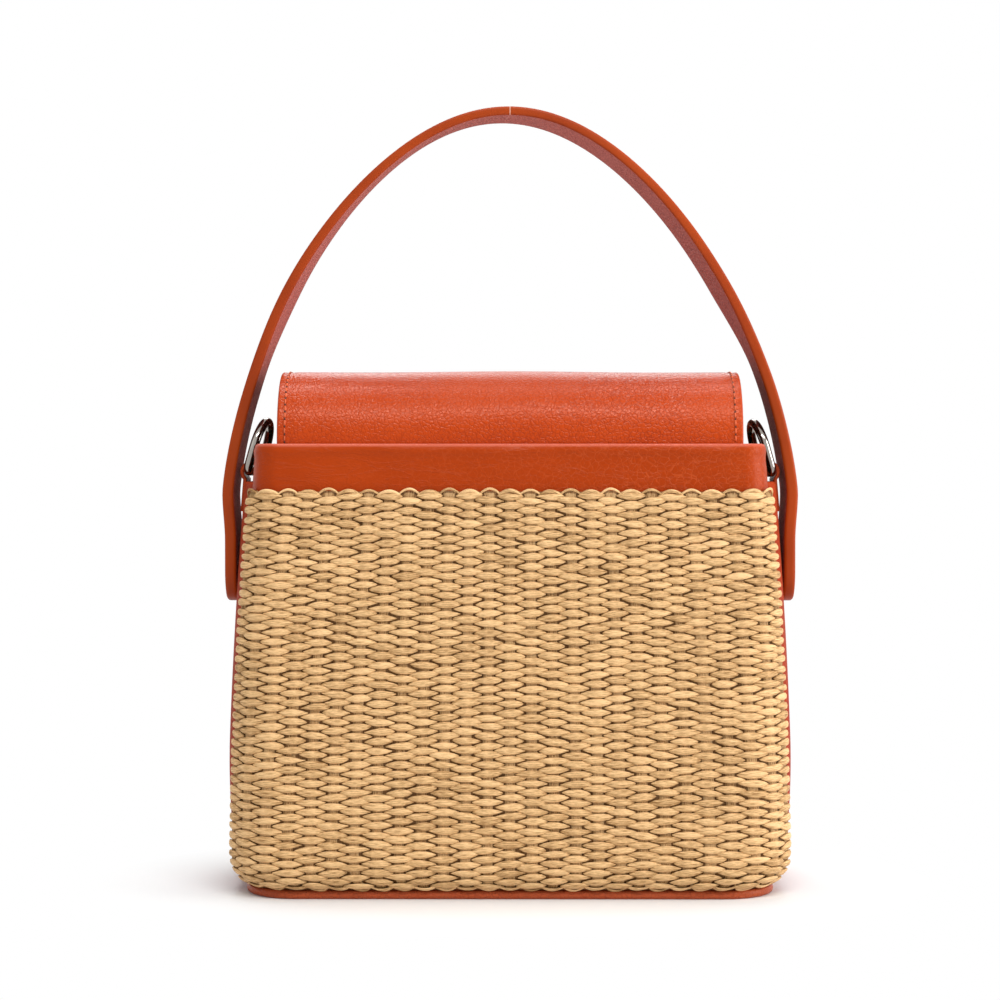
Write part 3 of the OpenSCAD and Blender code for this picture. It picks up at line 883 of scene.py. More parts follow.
    def edge_loops(self, rng: np.random.Generator) -> Surface:
        """Loops of strand over each warp's end.

        t runs from -1 to 1 along a loop: its height is the cosine of a quarter turn to the power
        0.7, its section a circle that thins towards the ends.

        Args:
            rng: Seeded source of each loop's small differences.

        Returns:
            The loops of both edges as one surface.
        """
        share, _, pitch, _ = self.centres()
        t = np.linspace(-1, 1, 15)
        arch = np.cos(np.pi / 2 * t)
        turn = np.linspace(0, 2 * np.pi, 8, endpoint=False)
        odd = (np.arange(self.columns) % 2).reshape(-1, 1)
        high, inside, rise, thick = (
            a + (b - a) * odd for a, b in zip(astuple(self.even_loop), astuple(self.odd_loop)))
        one = (self.columns, 1, 1)
        flat = self.half_length * pitch * self.loop_reach * (t[1] - t[0])
        parts = []
        for edge, sign, drop in ((self.form.weave_top, 1, 0.0), (self.foot, -1, 0.55)):
            tall = high * (1 + rng.normal(0, 0.06, (self.columns, 1)))
            line_z = edge - sign * inside + sign * (tall - drop) * arch ** 0.7
            line_o = 1.15 + rise * arch
            radius = thick * (0.55 + 0.45 * arch)
            steep = np.gradient(line_z, axis=1)
            norm = np.hypot(steep, flat)
            line_s = share[:, None] + pitch * self.loop_reach * t
            z, s, out = (middle[..., None] + (radius * way)[..., None] * spin
                         for middle, way, spin in (
                             (line_z, flat / norm, np.sin(turn)),
                             (line_s, -steep / norm / self.half_length, np.sin(turn)),
                             (line_o, 1.0, np.cos(turn))))
            grid = self.form.wrap(s, z, np.maximum(0.4, out))
            start = rng.uniform(0, 50, one)
            uv = np.broadcast_arrays(5 * t[:, None] + start, 0.8 * np.sin(turn) + start)
            uv = np.stack(uv, -1)
            tone = np.clip(0.5 + rng.normal(0, 0.2, one), 0, 1)
            parts.append(tube(grid, uv, np.broadcast_to(tone, grid.shape[:3])))
        return joined(parts)

    def build(self, name: str, seed: int, front: bool) -> None:
        """Writes the panel's pieces.

        Args:
            name: First word of the pieces' names, and of the CAD node's.
            seed: Seed of the panel's small differences.
            front: True to mirror the panel to the front.
        """
        rng = np.random.default_rng(seed)
        for word, surface, material, replaces in (
                ("floats", self.floats(rng), self.finishes.raffia, (name + "_weave",)),
                ("warps", self.warps(rng), self.finishes.warp, ()),
                ("painted_shade_sheet", self.painted_shade_sheet(), self.finishes.painted_shade_sheet, ()),
                ("edge_loops", self.edge_loops(rng), self.finishes.raffia, ())):
            if front:
                surface = surface.mirrored(1)
            write_piece(f"{name}_{word}", surface, material, Body.BODY, replaces)


# Leather body


@dataclass
class LeatherBody:
    """Walls with their collar, side panels, base and the cloth inside.

    The collar's waves grow between the first two heights of wavy and fade between the last two.
    """

    form: BodyForm
    finishes: Finishes
    rim_r: float = 1.15
    fold: float = 0.55
    fold_down: float = 2.6
    fold_h: float = 1.9
    collar_low: float = 150.0
    wavy: tuple[float, float, float, float] = (157, 163, 168, 171)
    side_rim: float = 1.2
    sole_r: float = 1.5
    sole_inset: float = 14.0
    lining_gap: float = 0.3
    lining_t: float = 0.8
    lining_top: float = 145.1
    floor: float = 5.7
    fold_reach: float = 95.0

    def wall_section(self) -> tuple[np.ndarray, np.ndarray]:
        """Heights and outward distances of a wall's section: up its face, round its rim and down
        its back, with a low bulge under the rim where the leather is folded over."""
        f = self.form
        top = f.collar_top
        face = np.concatenate([np.linspace(f.base_t, f.foot_r, 9),
                               np.linspace(f.foot_r, self.collar_low, 16)[1:],
                               np.linspace(self.collar_low, top - self.rim_r, 26)[1:]])
        turn = np.linspace(0, np.pi, 11)[1:-1]
        half = f.wall_t / 2
        bulge = self.fold * np.exp(-((face - (top - self.fold_down)) / self.fold_h) ** 2)
        bulge = bulge * smooth_step(face, self.collar_low, top - 3)
        left = self.fold * math.exp(-((self.rim_r - self.fold_down) / self.fold_h) ** 2) * 0.9
        z = np.concatenate([face, top - self.rim_r + self.rim_r * np.sin(turn), face[::-1]])
        out = np.concatenate([bulge, -half + (half + left) * np.cos(turn),
                              np.full(len(face), -f.wall_t)])
        return np.append(z, z[-1] + 0.01), np.append(out, out[-1] + 0.05)

    def wall(self) -> Surface:
        """The rear wall: its section carried along the wall's line, with the collar's leather
        lying in soft, shallow waves."""
        z, out = self.wall_section()
        s = np.concatenate([np.linspace(-1, -0.78, 22), np.linspace(-0.76, 0.76, 60),
                            np.linspace(0.78, 1, 22)])[:, None]
        wave = 0.22 * np.sin(7 * s + 0.05 * z) + 0.16 * np.sin(17 * s - 0.11 * z + 1)
        low, full, fade, high = self.wavy
        soft = smooth_step(z, low, full) * (1 - smooth_step(z, fade, high)) * (out > -1)
        return tube(self.form.wrap(s, z, out + wave * soft)[None])

    def side_panel(self) -> Surface:
        """The right side panel: a section with a round rim carried from seam to seam."""
        f, r = self.form, self.side_rim
        face = np.concatenate([np.linspace(f.base_t, f.foot_r, 9),
                               np.linspace(f.foot_r, f.gusset_top - r, 34)[1:]])
        turn = np.linspace(0, np.pi, 10)[1:-1]
        z = np.concatenate([face, f.gusset_top - r + r * np.sin(turn), face[::-1]])
        out = np.concatenate([np.zeros(len(face)), -r + r * np.cos(turn),
                              np.full(len(face), -f.wall_t)])
        s = np.concatenate([[-1.1, -1.05], np.linspace(-1, 1, 41), [1.05, 1.1]])
        return tube(f.flank(s[:, None], z[None], out[None])[None])

    def sole(self) -> Surface:
        """The leather base: a rounded rectangle whose edge is a half round."""
        f, r = self.form, self.form.corner_r
        half = np.array([float(v(np.float64(f.base_t))) + f.base_lip for v in (f.half_w, f.half_d)])
        turn = np.linspace(0, np.pi / 2, 14)
        quarter = np.stack([np.cos(turn), np.sin(turn)], -1)
        edge = np.linspace(0, np.pi, 11)
        inset = np.concatenate([[self.sole_inset], self.sole_r * (1 - np.sin(edge)),
                                [self.sole_inset]])
        height = np.concatenate([[0.0], f.base_t / 2 * (1 - np.cos(edge)), [f.base_t]])
        loops = []
        for cut, z in zip(inset, height):
            part = half - r + quarter * (r - cut)
            ring = np.vstack([part, (part * (-1, 1))[::-1], -part, (part * (1, -1))[::-1]])
            loops.append(np.column_stack([ring, np.full(len(ring), z)]))
        return tube(np.array(loops)[None])

    def lining(self) -> Surface:
        """The cloth bag: up outside, over the edge and down inside to the floor, with the inner
        face in soft folds of sines along its length."""
        f = self.form
        outer = f.wall_t + self.lining_gap
        inner = outer + self.lining_t
        up = np.concatenate([np.linspace(self.floor, 20, 8),
                             np.linspace(20, self.lining_top, 26)[1:]])
        z = np.concatenate([up, up[:0:-1], [self.floor + self.lining_t]])[:, None]
        off = np.repeat([-outer, -inner], len(up))[:, None]
        rear = f.wrap(np.linspace(-1, 1, 50)[None], z, off)
        right = f.flank(np.linspace(-1, 1, 20)[None] * 1.08, z, off)
        loop = np.concatenate([rear, right, (rear * (1, -1, 1))[:, ::-1],
                               (right * (-1, 1, 1))[:, ::-1]], 1)
        run = np.linspace(0, 1, loop.shape[1], endpoint=False)[None] * 2 * np.pi
        fold = 0.3 * np.sin(9 * run + 0.03 * z) + 0.2 * np.sin(23 * run - 0.05 * z)
        inside = ((off < -outer - 0.1) * smooth_step(z, 12, 40)
                  * smooth_step(-z, -self.lining_top + 1, -self.lining_top + 12))
        pull = 1 - (np.maximum(0, fold + 0.5) * inside / self.fold_reach)[..., None] * (1, 1, 0)
        return tube((loop * pull)[None])

    def build(self) -> None:
        """Writes the walls, side panels, base and lining."""
        wall, side, look = self.wall(), self.side_panel(), self.finishes
        for name, surface, material, node in (
                ("rear_panel", wall, look.collar, "rear_wall"),
                ("front_panel", wall.mirrored(1), look.collar, "front_wall"),
                ("right_side_panel", side, look.side, "right_gusset"),
                ("left_side_panel", side.mirrored(0), look.side, "left_gusset"),
                ("sole", self.sole(), look.sole, "base")):
            write_piece(name, surface, material, Body.BODY, (node,))
        write_piece("lining_bag", self.lining(), look.cloth, Body.BODY, ("lining",))


# Flap


@dataclass(frozen=True)
class Spindle:
    """A stitch's or hole's form: half length and radius, height over the stitch's place, and how
    far along the line it lies from the stitch's middle."""

    half: float
    r: float
    lift: float
    shift: float = 0.0


@dataclass
class Flap:
    """The stitched flap: two layers of leather on one line from inside the collar, over the top
    and down the front.

    Thin gives the layers' thickness as a share at distances from the lower end. The places
    blend_from and blend_to, as (Y, Z) steps behind the front face of the rear wall's top, are not
    used.
    """

    form: BodyForm
    finishes: Finishes
    width: float = 176.6
    top: float = 200.0
    leather_t: float = 1.7
    inner_t: float = 1.2
    rear_r: float = 24.0
    front_r: float = 20.0
    end: float = 96.0
    corner_r: float = 20.0
    root_low: float = 153.0
    root_gap: float = 0.3
    drop_out: float = 7.4
    thin: tuple[tuple[float, ...], tuple[float, ...]] = ((0, 0.15, 0.45, 0.9, 1.6),
                                                         (0.25, 0.6, 0.8, 0.95, 1.0))
    stitch_in: float = 3.0
    stitch_pitch: float = 2.8
    first_stitch: float = 21.0
    dip: float = 0.28
    step: float = 2.4
    blend_from: tuple[float, float] = (1.6, -4.8)
    blend_to: tuple[float, float] = (7.0, -2.1)

    def line(self) -> np.ndarray:
        """The seam line between the layers as (Y, Z): a riser, a quarter circle, the top, an arc
        to the slope of the front, and the drop."""
        f = self.form
        slope = math.atan((f.base_d - f.top_d) / 2 / f.weave_top)
        crest = self.top - self.leather_t
        arc_z = crest - self.front_r
        heights = (self.root_low, f.collar_top, arc_z + self.front_r * math.sin(slope), self.end)
        low, riser, reach, end = (float(f.half_d(np.float64(z))) for z in heights)
        inner = f.wall_t + self.root_gap + self.leather_t
        low, riser = inner - low, inner - riser
        arc_y = reach + self.drop_out - self.front_r * math.cos(slope)
        rear = np.radians(np.linspace(180, 90, 40))
        front = np.linspace(np.pi / 2, slope, 36)
        points = [[[low, self.root_low], [riser, f.collar_top]],
                  np.stack([riser + self.rear_r * (1 + np.cos(rear)),
                            crest - self.rear_r * (1 - np.sin(rear))], -1),
                  np.stack([arc_y + self.front_r * np.cos(front),
                            arc_z + self.front_r * np.sin(front)], -1),
                  [[end + self.drop_out, self.end]]]
        return resampled(np.vstack([np.asarray(p) for p in points]), self.step)

    def half_widths(self, line: np.ndarray, inset: float) -> np.ndarray:
        """Half widths along the line: full, then a quarter circle to the rounded lower corners."""
        left = lengths(line)[-1] - lengths(line)
        r = self.corner_r
        t = np.clip((r - left) / r, 0, 1)
        return self.width / 2 - inset - r * (1 - np.sqrt(1 - t ** 2))

    def layer(self, low: float, high: float, inset: float) -> Surface:
        """One layer of the flap.

        Args:
            low: Height of its under face over the seam line.
            high: Height of its outer face, over 0.1 only for the outer layer.
            inset: How far its edge lies inside the flap's own.

        Returns:
            The layer's section carried along the line, a little puffed beside the stitches.
        """
        line = self.line()
        run = lengths(line)
        end = run[-1]
        near = end - np.array(self.thin[0][:0:-1])
        close = np.stack([np.interp(near, run, line[:, k]) for k in (0, 1)], -1)
        line = np.vstack([line[:-1], close, line[-1:]])
        run = lengths(line)[:, None]
        half = self.half_widths(line, inset)[:, None]
        rim, mid = (high - low) / 2, (low + high) / 2
        bar = rounded_bar(2.0, low, high, rim, across=64)
        edge, top = np.abs(bar[:, 0]), bar[:, 1] > mid
        x = np.sign(bar[:, 0]) * np.where(edge > 1 - rim, half + edge - 1,
                                          (half - rim) * edge / (1 - rim))
        thin = np.interp(end - run, *self.thin)
        from_edge = np.minimum(half - np.abs(x), end - run)
        dip = self.dip * np.exp(-((from_edge - self.stitch_in) / 0.8) ** 2)
        crown = 0.25 * np.sin(3.1 * x / 88 + 0.03 * run) + 0.15 * np.sin(6.3 * x / 88 + 1.3)
        puff = (0.8 * crown * smooth_step(run, 20, 34) - dip) * (high > 0.1)
        o = mid + (bar[:, 1] - mid) * thin + puff * top
        t = tangents(line)
        return tube(np.stack([x, line[:, :1] - t[:, 1:] * o, line[:, 1:] + t[:, :1] * o], -1)[None])

    def stitch_places(self) -> tuple[np.ndarray, np.ndarray, np.ndarray]:
        """Middles, directions and outward normals of the stitches down both sides and round the
        lower end, one pitch apart."""
        line = resampled(self.line(), 0.5)
        run = lengths(line)
        r = self.corner_r - self.stitch_in
        side = self.width / 2 - self.stitch_in
        stop = run[-1] - self.corner_r
        down = np.stack([np.full(60, side), np.linspace(self.first_stitch, stop, 60)], -1)
        turn = np.linspace(0, np.pi / 2, 30)
        arc = np.stack([side - r * (1 - np.cos(turn)), stop + r * np.sin(turn)], -1)
        half = np.vstack([down, arc[1:], [[0.0, stop + r]]])
        flat = resampled(np.vstack([half, (half * (-1, 1))[::-1][1:]]), self.stitch_pitch)
        place, along = (np.stack([np.interp(flat[:, 1], run, v[:, k]) for k in (0, 1)], -1)
                        for v in (line, tangents(line)))
        normal = np.column_stack([np.zeros(len(flat)), -along[:, 1], along[:, 0]])
        way = tangents(flat)
        direction = np.column_stack([way[:, 0], along * way[:, 1:]])
        place = np.column_stack([flat[:, 0], place]) + normal * (self.leather_t - 0.22)
        return place, direction, normal

    def stitches(self, form: Spindle) -> Surface:
        """A small closed spindle at each stitch, all as one surface."""
        middle, along, normal = (v[:, None, None] for v in self.stitch_places())
        across = np.cross(along, normal)
        t = np.array([-1, -0.8, -0.4, 0, 0.4, 0.8, 1])
        turn = np.radians(np.arange(6) * 60 + 30)
        size = (np.sqrt(np.maximum(0.04, 1 - t ** 4)) * form.r)[:, None]
        return tube(middle + along * form.shift + normal * form.lift
                    + along * (form.half * t)[:, None, None]
                    + across * (size * np.cos(turn))[..., None]
                    + normal * (size * np.sin(turn))[..., None])

    def build(self) -> None:
        """Writes the layers and the stitching, on no body.
        """
        f, look = self.form, self.finishes
        y = -(float(f.half_d(np.float64(f.collar_top))) - f.wall_t - self.root_gap)
        # The hole spindles, half a pitch along, are dark as painted shade in the stitch holes.
        stitch, hole = Spindle(1.05, 0.34, 0.12), Spindle(0.4, 0.36, -0.02, self.stitch_pitch / 2)
        leather, inside = self.layer(0, self.leather_t, 0), self.layer(-self.inner_t, -0.02, 0.25)
        for name, surface, material, replaces in (
                ("flap_leather", leather, look.flap, ("flap", "flap_root")),
                ("flap_inside", inside, look.inside, ("flap_lining",)),
                ("flap_stitches", self.stitches(stitch), look.thread, ()),
                ("flap_hole_shades", self.stitches(hole), look.hole, ())):
            piece = write_piece(name, surface, material, None, replaces)
            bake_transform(piece)


# Handle


@dataclass
class Handle:
    """One leather strap bent into an arch, on two flush rivets.

    Above the hip the arch lies a little aside, and above turn_over's heights over the pivot the
    legs' sections turn about upright axes. Both leave the flap and the side panels their room.
    The section is laid out from -1 to 1, with rim_share of each half for the edge's rounding.
    """

    form: BodyForm
    finishes: Finishes
    top: float = 303.0
    width: float = 24.0
    end_t: float = 4.4
    top_t: float = 3.4
    edge_r: float = 0.9
    rim_share: float = 0.55
    pivot_z: float = 122.5
    hip_rise: float = 30.5
    bow: float = 1.0
    gap: float = 0.46
    arch_power: float = 1.53
    shoulder: float = 0.036
    aside: float = 1.2
    aside_over: tuple[float, float] = (36, 95)
    right_turn: float = math.radians(7)
    left_turn: float = math.radians(-5)
    turn_edge: float = 6.0
    turn_over: tuple[float, float] = (80, 112)
    rivet_r: float = 4.5
    shank_r: float = 2.0
    cap_t: float = 0.6
    lining_t: float = 0.8
    step: float = 2.6

    @property
    def seat(self) -> float:
        """Distance of the strap's inner face from the bag's middle at its ends."""
        return self.form.side_x(self.pivot_z - self.width / 2) + self.gap

    def line(self) -> np.ndarray:
        """Centre line as (X, Z) from the right end over the top to the left one.

        The half width is the hip times the cosine of an angle, filled out by a share of the sine
        of twice the angle squared, and the height is the sine to the power arch_power, above
        legs that ease out from the seat to the hip.
        """
        seat = self.seat + self.end_t / 2
        hip_x, hip_z = seat + self.bow, self.pivot_z + self.hip_rise
        foot, leg = self.pivot_z - self.width / 2, self.pivot_z + self.width / 2
        s = np.linspace(0, 1, 20)[:-1]
        legs = np.stack([seat + (hip_x - seat) * s * s * (3 - 2 * s), leg + (hip_z - leg) * s], -1)
        a = np.radians(np.linspace(0, 90, 90))
        rise = self.top - self.top_t / 2 - hip_z
        arch = np.stack([hip_x * np.cos(a) * (1 + self.shoulder * np.sin(2 * a) ** 2),
                         hip_z + rise * np.sin(a) ** self.arch_power], -1)
        right = np.vstack([[[seat, foot]], legs, arch])
        line = np.vstack([right, (right * (-1, 1))[::-1][1:]])
        low, high = (hip_z + v for v in self.aside_over)
        line[:, 0] -= self.aside * smooth_step(line[:, 1], low, high)
        return resampled(line, self.step)

    def strap(self) -> Surface:
        """The strap: a flat bar's section carried along the line.

        Its width shrinks to a half circle about each rivet, it thins towards the top, and each
        leg's section turns below the crown to show its inner face to the rear.
        """
        line = self.line()
        run = lengths(line)
        end, r = run[-1], self.width / 2
        ends = r * (1 - np.cos(np.linspace(0, np.pi / 2, 9)))[1:-1]
        s = np.sort(np.concatenate([run[(run > r) & (run < end - r)],
                                    [0.02, r, end - r, end - 0.02], ends, end - ends]))
        line = np.stack([np.interp(s, run, line[:, k]) for k in (0, 1)], -1)
        t, z = tangents(line), line[:, 1:]
        s = s[:, None]
        near = np.minimum(s, end - s)
        half = np.where(near < r, np.sqrt(np.maximum(0.0, r ** 2 - (r - near) ** 2)), r)
        high = smooth_step(z, self.pivot_z + self.hip_rise, self.top)
        thick = self.end_t + (self.top_t - self.end_t) * high
        rim = self.rim_share
        bar = rounded_bar(2.0, -1.0, 1.0, rim, across=18)
        edge, face = np.abs(bar[:, 0]), bar[:, 1]
        rim_mm = np.minimum(self.edge_r, half)
        across = np.sign(bar[:, 0]) * np.where(
            edge > 1 - rim, half + (edge - 1) / rim * rim_mm, (half - rim_mm) * edge / (1 - rim))
        out = face * thick / 2 * np.interp(near, [0, 0.6, 2.0], [0.7, 0.9, 1.0])
        off = t[:, 1:] * out
        past = smooth_step(s / end, 0.5, 0.85)
        low, full = (self.pivot_z + v for v in self.turn_over)
        turn = (self.right_turn * (1 - past) + self.left_turn * past) * smooth_step(z, low, full)
        x = line[:, :1] + off * np.cos(turn) - (across + self.turn_edge) * np.sin(turn)
        grid = np.stack([x, off * np.sin(turn) + across * np.cos(turn), z - t[:, :1] * out], -1)
        tone = np.where(edge > 1 - rim + 1e-6, 0.5, np.where(face > 0, 1.0, 0.0))
        uv = np.stack(np.broadcast_arrays(s - end / 2, across), -1)
        return tube(grid[None], uv[None], np.broadcast_to(tone, across.shape)[None])

    def rivet(self) -> Surface:
        """A low domed head, its shank and its foot, turned about X: radii at places along it."""
        outer, r, shank = self.seat + self.end_t, self.rivet_r, self.shank_r
        inner = self.form.side_x(self.pivot_z + r) - self.form.wall_t - self.lining_t
        foot = inner - 3 * self.cap_t
        turn = np.radians(np.linspace(0, 80, 8))
        dome = np.stack([outer - 0.35 + 0.55 * np.sin(turn), r * np.cos(turn)], -1)
        pin = [[foot, 0.3], [foot, shank], [outer - 1.0, shank], [outer - 1.0, r - 0.1]]
        place = np.vstack([pin, dome, [[outer + 0.2, 0.15]]])
        spin = np.linspace(0, 2 * np.pi, 32, endpoint=False)
        x, radius = place[:, :1], place[:, 1:]
        grid = np.stack(np.broadcast_arrays(x, radius * np.cos(spin),
                                            self.pivot_z + radius * np.sin(spin)), -1)
        return tube(grid[None])

    def build(self) -> None:
        """Writes the strap and both rivets."""
        look = self.finishes
        write_piece("strap", self.strap(), look.strap, Body.HANDLE, ("handle",))
        rivet = self.rivet()
        for side, surface in (("right", rivet), ("left", rivet.mirrored(0))):
            write_piece(f"{side}_rivet_head", surface, look.metal, Body.BODY,
                        (f"{side}_rivet",))


# Strap rings


@dataclass
class StrapRing:
    """A metal ring in its leather loop, astride the side panel's top edge."""

    form: BodyForm
    finishes: Finishes
    ring_w: float = 21.0
    ring_h: float = 20.2
    wire_r: float = 1.8
    bend_r: float = 3.2
    lean: float = math.radians(16)
    yaw: float = math.radians(6)
    lift: float = -0.25
    left_yaw: float = math.radians(7)
    left_lift: float = 0.25
    tab_w: float = 15.0
    tab_t: float = 1.5
    tab_leg: float = 12.0
    tab_r: float = 0.6
    glue_gap: float = 0.3
    loop_gap: float = 1.1

    @property
    def tab_lean(self) -> float:
        """Lean of the side panel's upper edge."""
        side, top = self.form.side_x, self.form.gusset_top
        return math.atan((side(top - self.tab_leg) - side(top)) / self.tab_leg)

    @property
    def bar_rise(self) -> float:
        """Height of the ring's bar over the panel's edge, which is the loop's own radius."""
        return self.wire_r + self.loop_gap + self.tab_t / 2

    def seat(self) -> Matrix:
        """The frame on the panel's edge, leaning with it."""
        top = self.form.gusset_top
        move = Matrix.Translation((self.form.side_x(top) - self.form.wall_t / 2, 0, top))
        return move @ Matrix.Rotation(-self.tab_lean, 4, "Y")

    def ring(self) -> Surface:
        """The ring: a circle carried round a D of a straight bar, two short sides and a half
        circle, with rounded corners at the bar."""
        half, soft = self.ring_w / 2, self.bend_r
        quarter = np.linspace(0, np.pi / 2, 9)
        corner = np.stack([half - soft + soft * np.sin(quarter), soft - soft * np.cos(quarter)], -1)
        arch = np.linspace(0, np.pi, 41)
        top = np.stack([half * np.cos(arch), self.ring_h - half + half * np.sin(arch)], -1)
        path = np.vstack([corner, top, (corner * (-1, 1))[::-1]])
        path = resampled(np.vstack([path, path[:1]]), 0.9)[:-1]
        path = np.column_stack([np.zeros(len(path)), path])
        side = np.cross(tangents(path, ring=True), (1.0, 0, 0))
        spin = np.linspace(0, 2 * np.pi, 20, endpoint=False)[:, None]
        around = np.cos(spin) * side[:, None] + np.sin(spin) * (1.0, 0, 0)
        grid = path[:, None] + self.wire_r * around
        place = (self.seat() @ Matrix.Translation((0, 0, self.bar_rise + self.lift))
                 @ Matrix.Rotation(self.yaw, 4, "Z")
                 @ Matrix.Rotation(self.tab_lean - self.lean, 4, "Y"))
        return tube(grid[None], ring=True).moved(np.array(place))

    def tab(self) -> Surface:
        """The leather loop: a flat bar's section carried up one face of the panel, round the
        ring's bar and down the other face."""
        leg_x = self.form.wall_t / 2 + self.glue_gap + self.tab_t / 2
        r = self.bar_rise
        low = math.sqrt(r * r - leg_x * leg_x)
        turn = np.linspace(-math.asin(low / r), math.pi + math.asin(low / r), 50)
        arc = np.stack([r * np.cos(turn), r + r * np.sin(turn)], -1)
        leg = np.stack([np.full(14, leg_x), np.linspace(-self.tab_leg, r - low - 1.2, 14)], -1)
        line = resampled(np.vstack([leg, arc, (leg * (-1, 1))[::-1]]), 0.7)
        t = tangents(line)
        bar = rounded_bar(self.tab_w, -self.tab_t / 2, self.tab_t / 2, self.tab_r, across=14)
        grid = np.stack(np.broadcast_arrays(line[:, :1] + t[:, 1:] * bar[:, 1], bar[:, 0],
                                            line[:, 1:] - t[:, :1] * bar[:, 1]), -1)
        return tube(grid[None]).moved(np.array(self.seat()))

    def build(self) -> None:
        """Writes both rings and both loops."""
        tab, look = self.tab(), self.finishes
        left = replace(self, lift=self.left_lift, yaw=self.left_yaw).ring().mirrored(0)
        for name, body, ring, loop in (("right", Body.RIGHT_RING, self.ring(), tab),
                                       ("left", Body.LEFT_RING, left, tab.mirrored(0))):
            write_piece(f"{name}_ring_wire", ring, look.metal, body, (f"{name}_ring",))
            write_piece(f"{name}_ring_loop", loop, look.loop, Body.BODY,
                        (f"{name}_ring_tab",))


# Small hidden parts that keep their CAD shape


def dress_nodes(finishes: Finishes) -> None:
    """Gives the CAD nodes that stay in view their materials."""
    materials = {"base_board": finishes.board} | dict.fromkeys(
        ("snap_socket", "snap_stud", "left_rivet_cap", "right_rivet_cap"), finishes.metal)
    for node, material in materials.items():
        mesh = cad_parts[node].data
        mesh.materials.clear()
        mesh.materials.append(material)
        LOG.info("%s: new finish", node)


# Studio


@dataclass(frozen=True)
class Lamp:
    """A soft rectangular lamp that faces a target, in metres and watts."""

    name: str
    place: tuple[float, float, float]
    target: tuple[float, float, float]
    size: tuple[float, float]
    power: float

    def build(self) -> None:
        """Adds the lamp to the scene."""
        data = bpy.data.lights.new(self.name, "AREA")
        data.shape = "RECTANGLE"
        data.size, data.size_y = self.size
        data.energy = self.power
        lamp = bpy.data.objects.new(self.name, data)
        bpy.context.scene.collection.objects.link(lamp)
        lamp.location = self.place
        way = Vector(self.target) - Vector(self.place)
        lamp.rotation_euler = way.to_track_quat("-Z", "Y").to_euler()


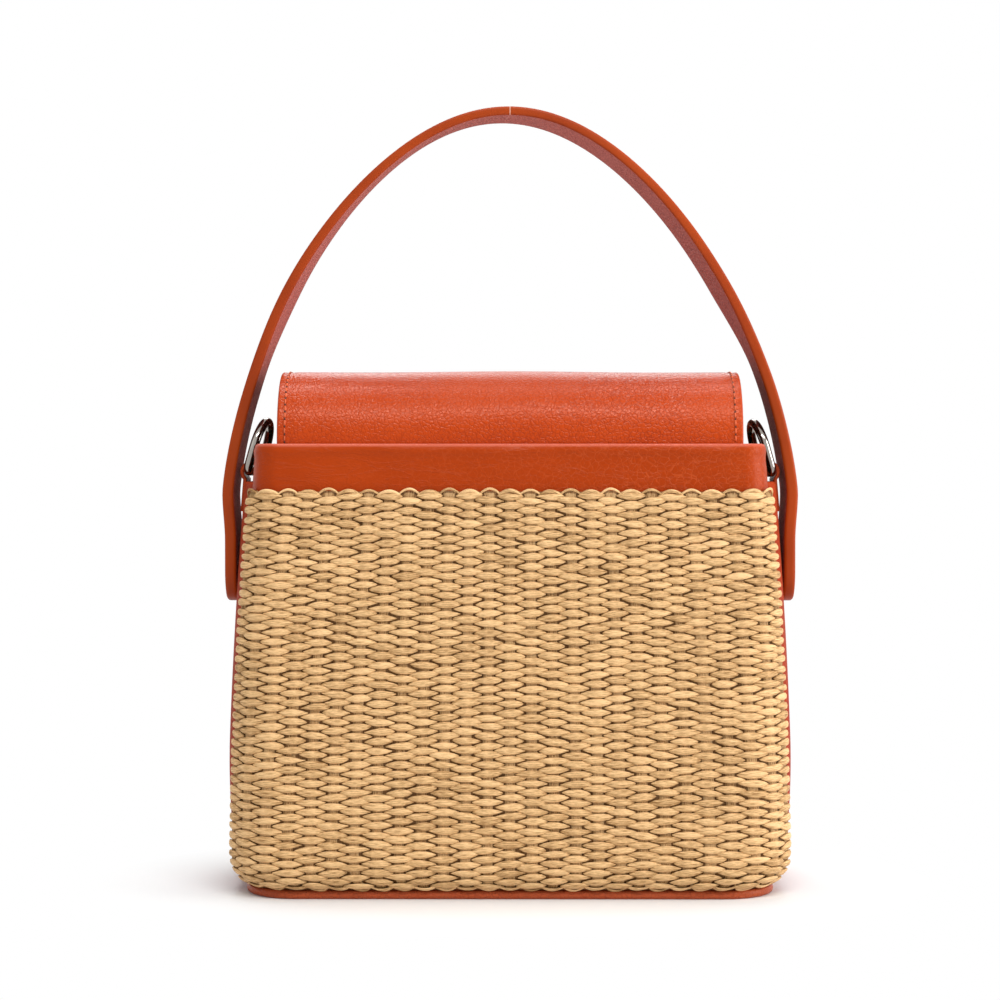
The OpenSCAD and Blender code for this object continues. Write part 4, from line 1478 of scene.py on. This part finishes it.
@dataclass
class Studio:
    """A plain white floor and surround, soft lamps and the camera, which is fitted to the
    photograph in its pixels.

    The floor fades into the surround between the two distances of fade, with depth counted more.
    """

    eye: tuple[float, float, float] = (0.0, -0.898, 0.1658)
    focal: float = 2280.0
    centre_px: float = 510.0
    horizon_px: float = 460.0
    frame_px: float = 1000.0
    sensor: float = 36.0
    clip: tuple[float, float] = (0.05, 20)
    floor_white: float = 0.80
    floor_half: float = 6.0
    fade: tuple[float, float] = (0.106, 0.165)
    depth_counts: float = 1.5
    surround: float = 0.41
    lamps: tuple[Lamp, ...] = (
        Lamp("front", (0.2, -1.0, 1.25), (0.02, 0, 0.15), (1.1, 0.17), 14.5),
        Lamp("top", (0.0, 0.14, 1.3), (0, 0, 0.1), (0.7, 0.3), 6.5),
        Lamp("back", (0.0, 1.1, 0.9), (0, 0, 0.2), (1.4, 0.3), 5.0),
        Lamp("left", (-1.2, -0.9, 0.8), (0, 0, 0.1), (0.8, 0.8), 0.8),
        Lamp("right", (1.2, -0.35, 0.4), (0, 0, 0.1), (0.7, 0.9), 13.0))

    def camera(self) -> None:
        """Places the camera at the photograph's angle."""
        data = bpy.data.cameras.new("camera")
        data.sensor_width = self.sensor
        data.lens = self.focal / self.frame_px * self.sensor
        data.clip_start, data.clip_end = self.clip
        eye = bpy.data.objects.new("camera", data)
        bpy.context.scene.collection.objects.link(eye)
        yaw = math.atan((self.centre_px - self.frame_px / 2) / self.focal)
        pitch = -math.atan((self.frame_px / 2 - self.horizon_px) / self.focal)
        eye.location = self.eye
        eye.rotation_euler = (math.pi / 2 + pitch, 0, yaw)
        bpy.context.scene.camera = eye

    def where_seen(self, g: Graph, seen: Link, lit: Link) -> Link:
        """Mixes two shaders by whether the ray comes from the camera, a gloss or a clear body."""
        path = g.add("LightPath")
        view = g.math("MAXIMUM", (path, "Is Camera Ray"), (path, "Is Glossy Ray"))
        view = g.math("MAXIMUM", view, (path, "Is Transmission Ray"))
        return g.add("MixShader", {0: view, 1: lit, 2: seen}), 0

    def world(self) -> None:
        """A white surround where it is seen, and a plain grey one for the light that it gives."""
        world = bpy.data.worlds.new("surround")
        bpy.context.scene.world = world
        g = Graph(world)
        seen = g.add("Background", {"Color": WHITE}), 0
        lit = g.add("Background", {"Color": WHITE, "Strength": self.surround}), 0
        g.finish(self.where_seen(g, seen, lit))

    def floor(self) -> None:
        """A plain white floor that fades into the surround away from the bag."""
        g = Graph.named("floor")
        far = g.add("VectorMath", {0: g.place(), 1: (1.0, self.depth_counts, 1.0)},
                    operation="MULTIPLY")
        length = g.add("VectorMath", {0: (far, 0)}, operation="LENGTH")
        lit = g.add("BsdfDiffuse", {"Color": (*[self.floor_white] * 3, 1)}), 0
        glow = g.add("Emission", {"Color": WHITE, "Strength": 1.0}), 0
        fade = g.value_ramp((length, "Value"), *self.fade)
        near = g.add("MixShader", {0: fade, 1: lit, 2: glow}), 0
        mesh = bpy.data.meshes.new("floor")
        h = self.floor_half
        mesh.from_pydata([(-h, -h, 0), (h, -h, 0), (h, h, 0), (-h, h, 0)], [], [(0, 1, 2, 3)])
        mesh.materials.append(g.finish(self.where_seen(g, near, lit)))
        floor = bpy.data.objects.new("floor", mesh)
        bpy.context.scene.collection.objects.link(floor)

    def build(self) -> None:
        """Sets the camera, surround, floor and lamps."""
        bpy.context.scene.view_settings.view_transform = "Standard"
        self.camera()
        self.world()
        self.floor()
        for lamp in self.lamps:
            lamp.build()


def main() -> None:
    """Builds the bag's pieces in order, then the studio."""
    logging.basicConfig(level=logging.INFO, format="%(message)s")
    form = BodyForm()
    finishes = Finishes()
    LeatherBody(form, finishes).build()
    WovenPanel(form, finishes).build("rear", 11, front=False)
    WovenPanel(form, finishes).build("front", 23, front=True)
    Flap(form, finishes).build()
    Handle(form, finishes).build()
    StrapRing(form, finishes).build()
    dress_nodes(finishes)
    Studio().build()


if __name__ == "__main__":
    main()
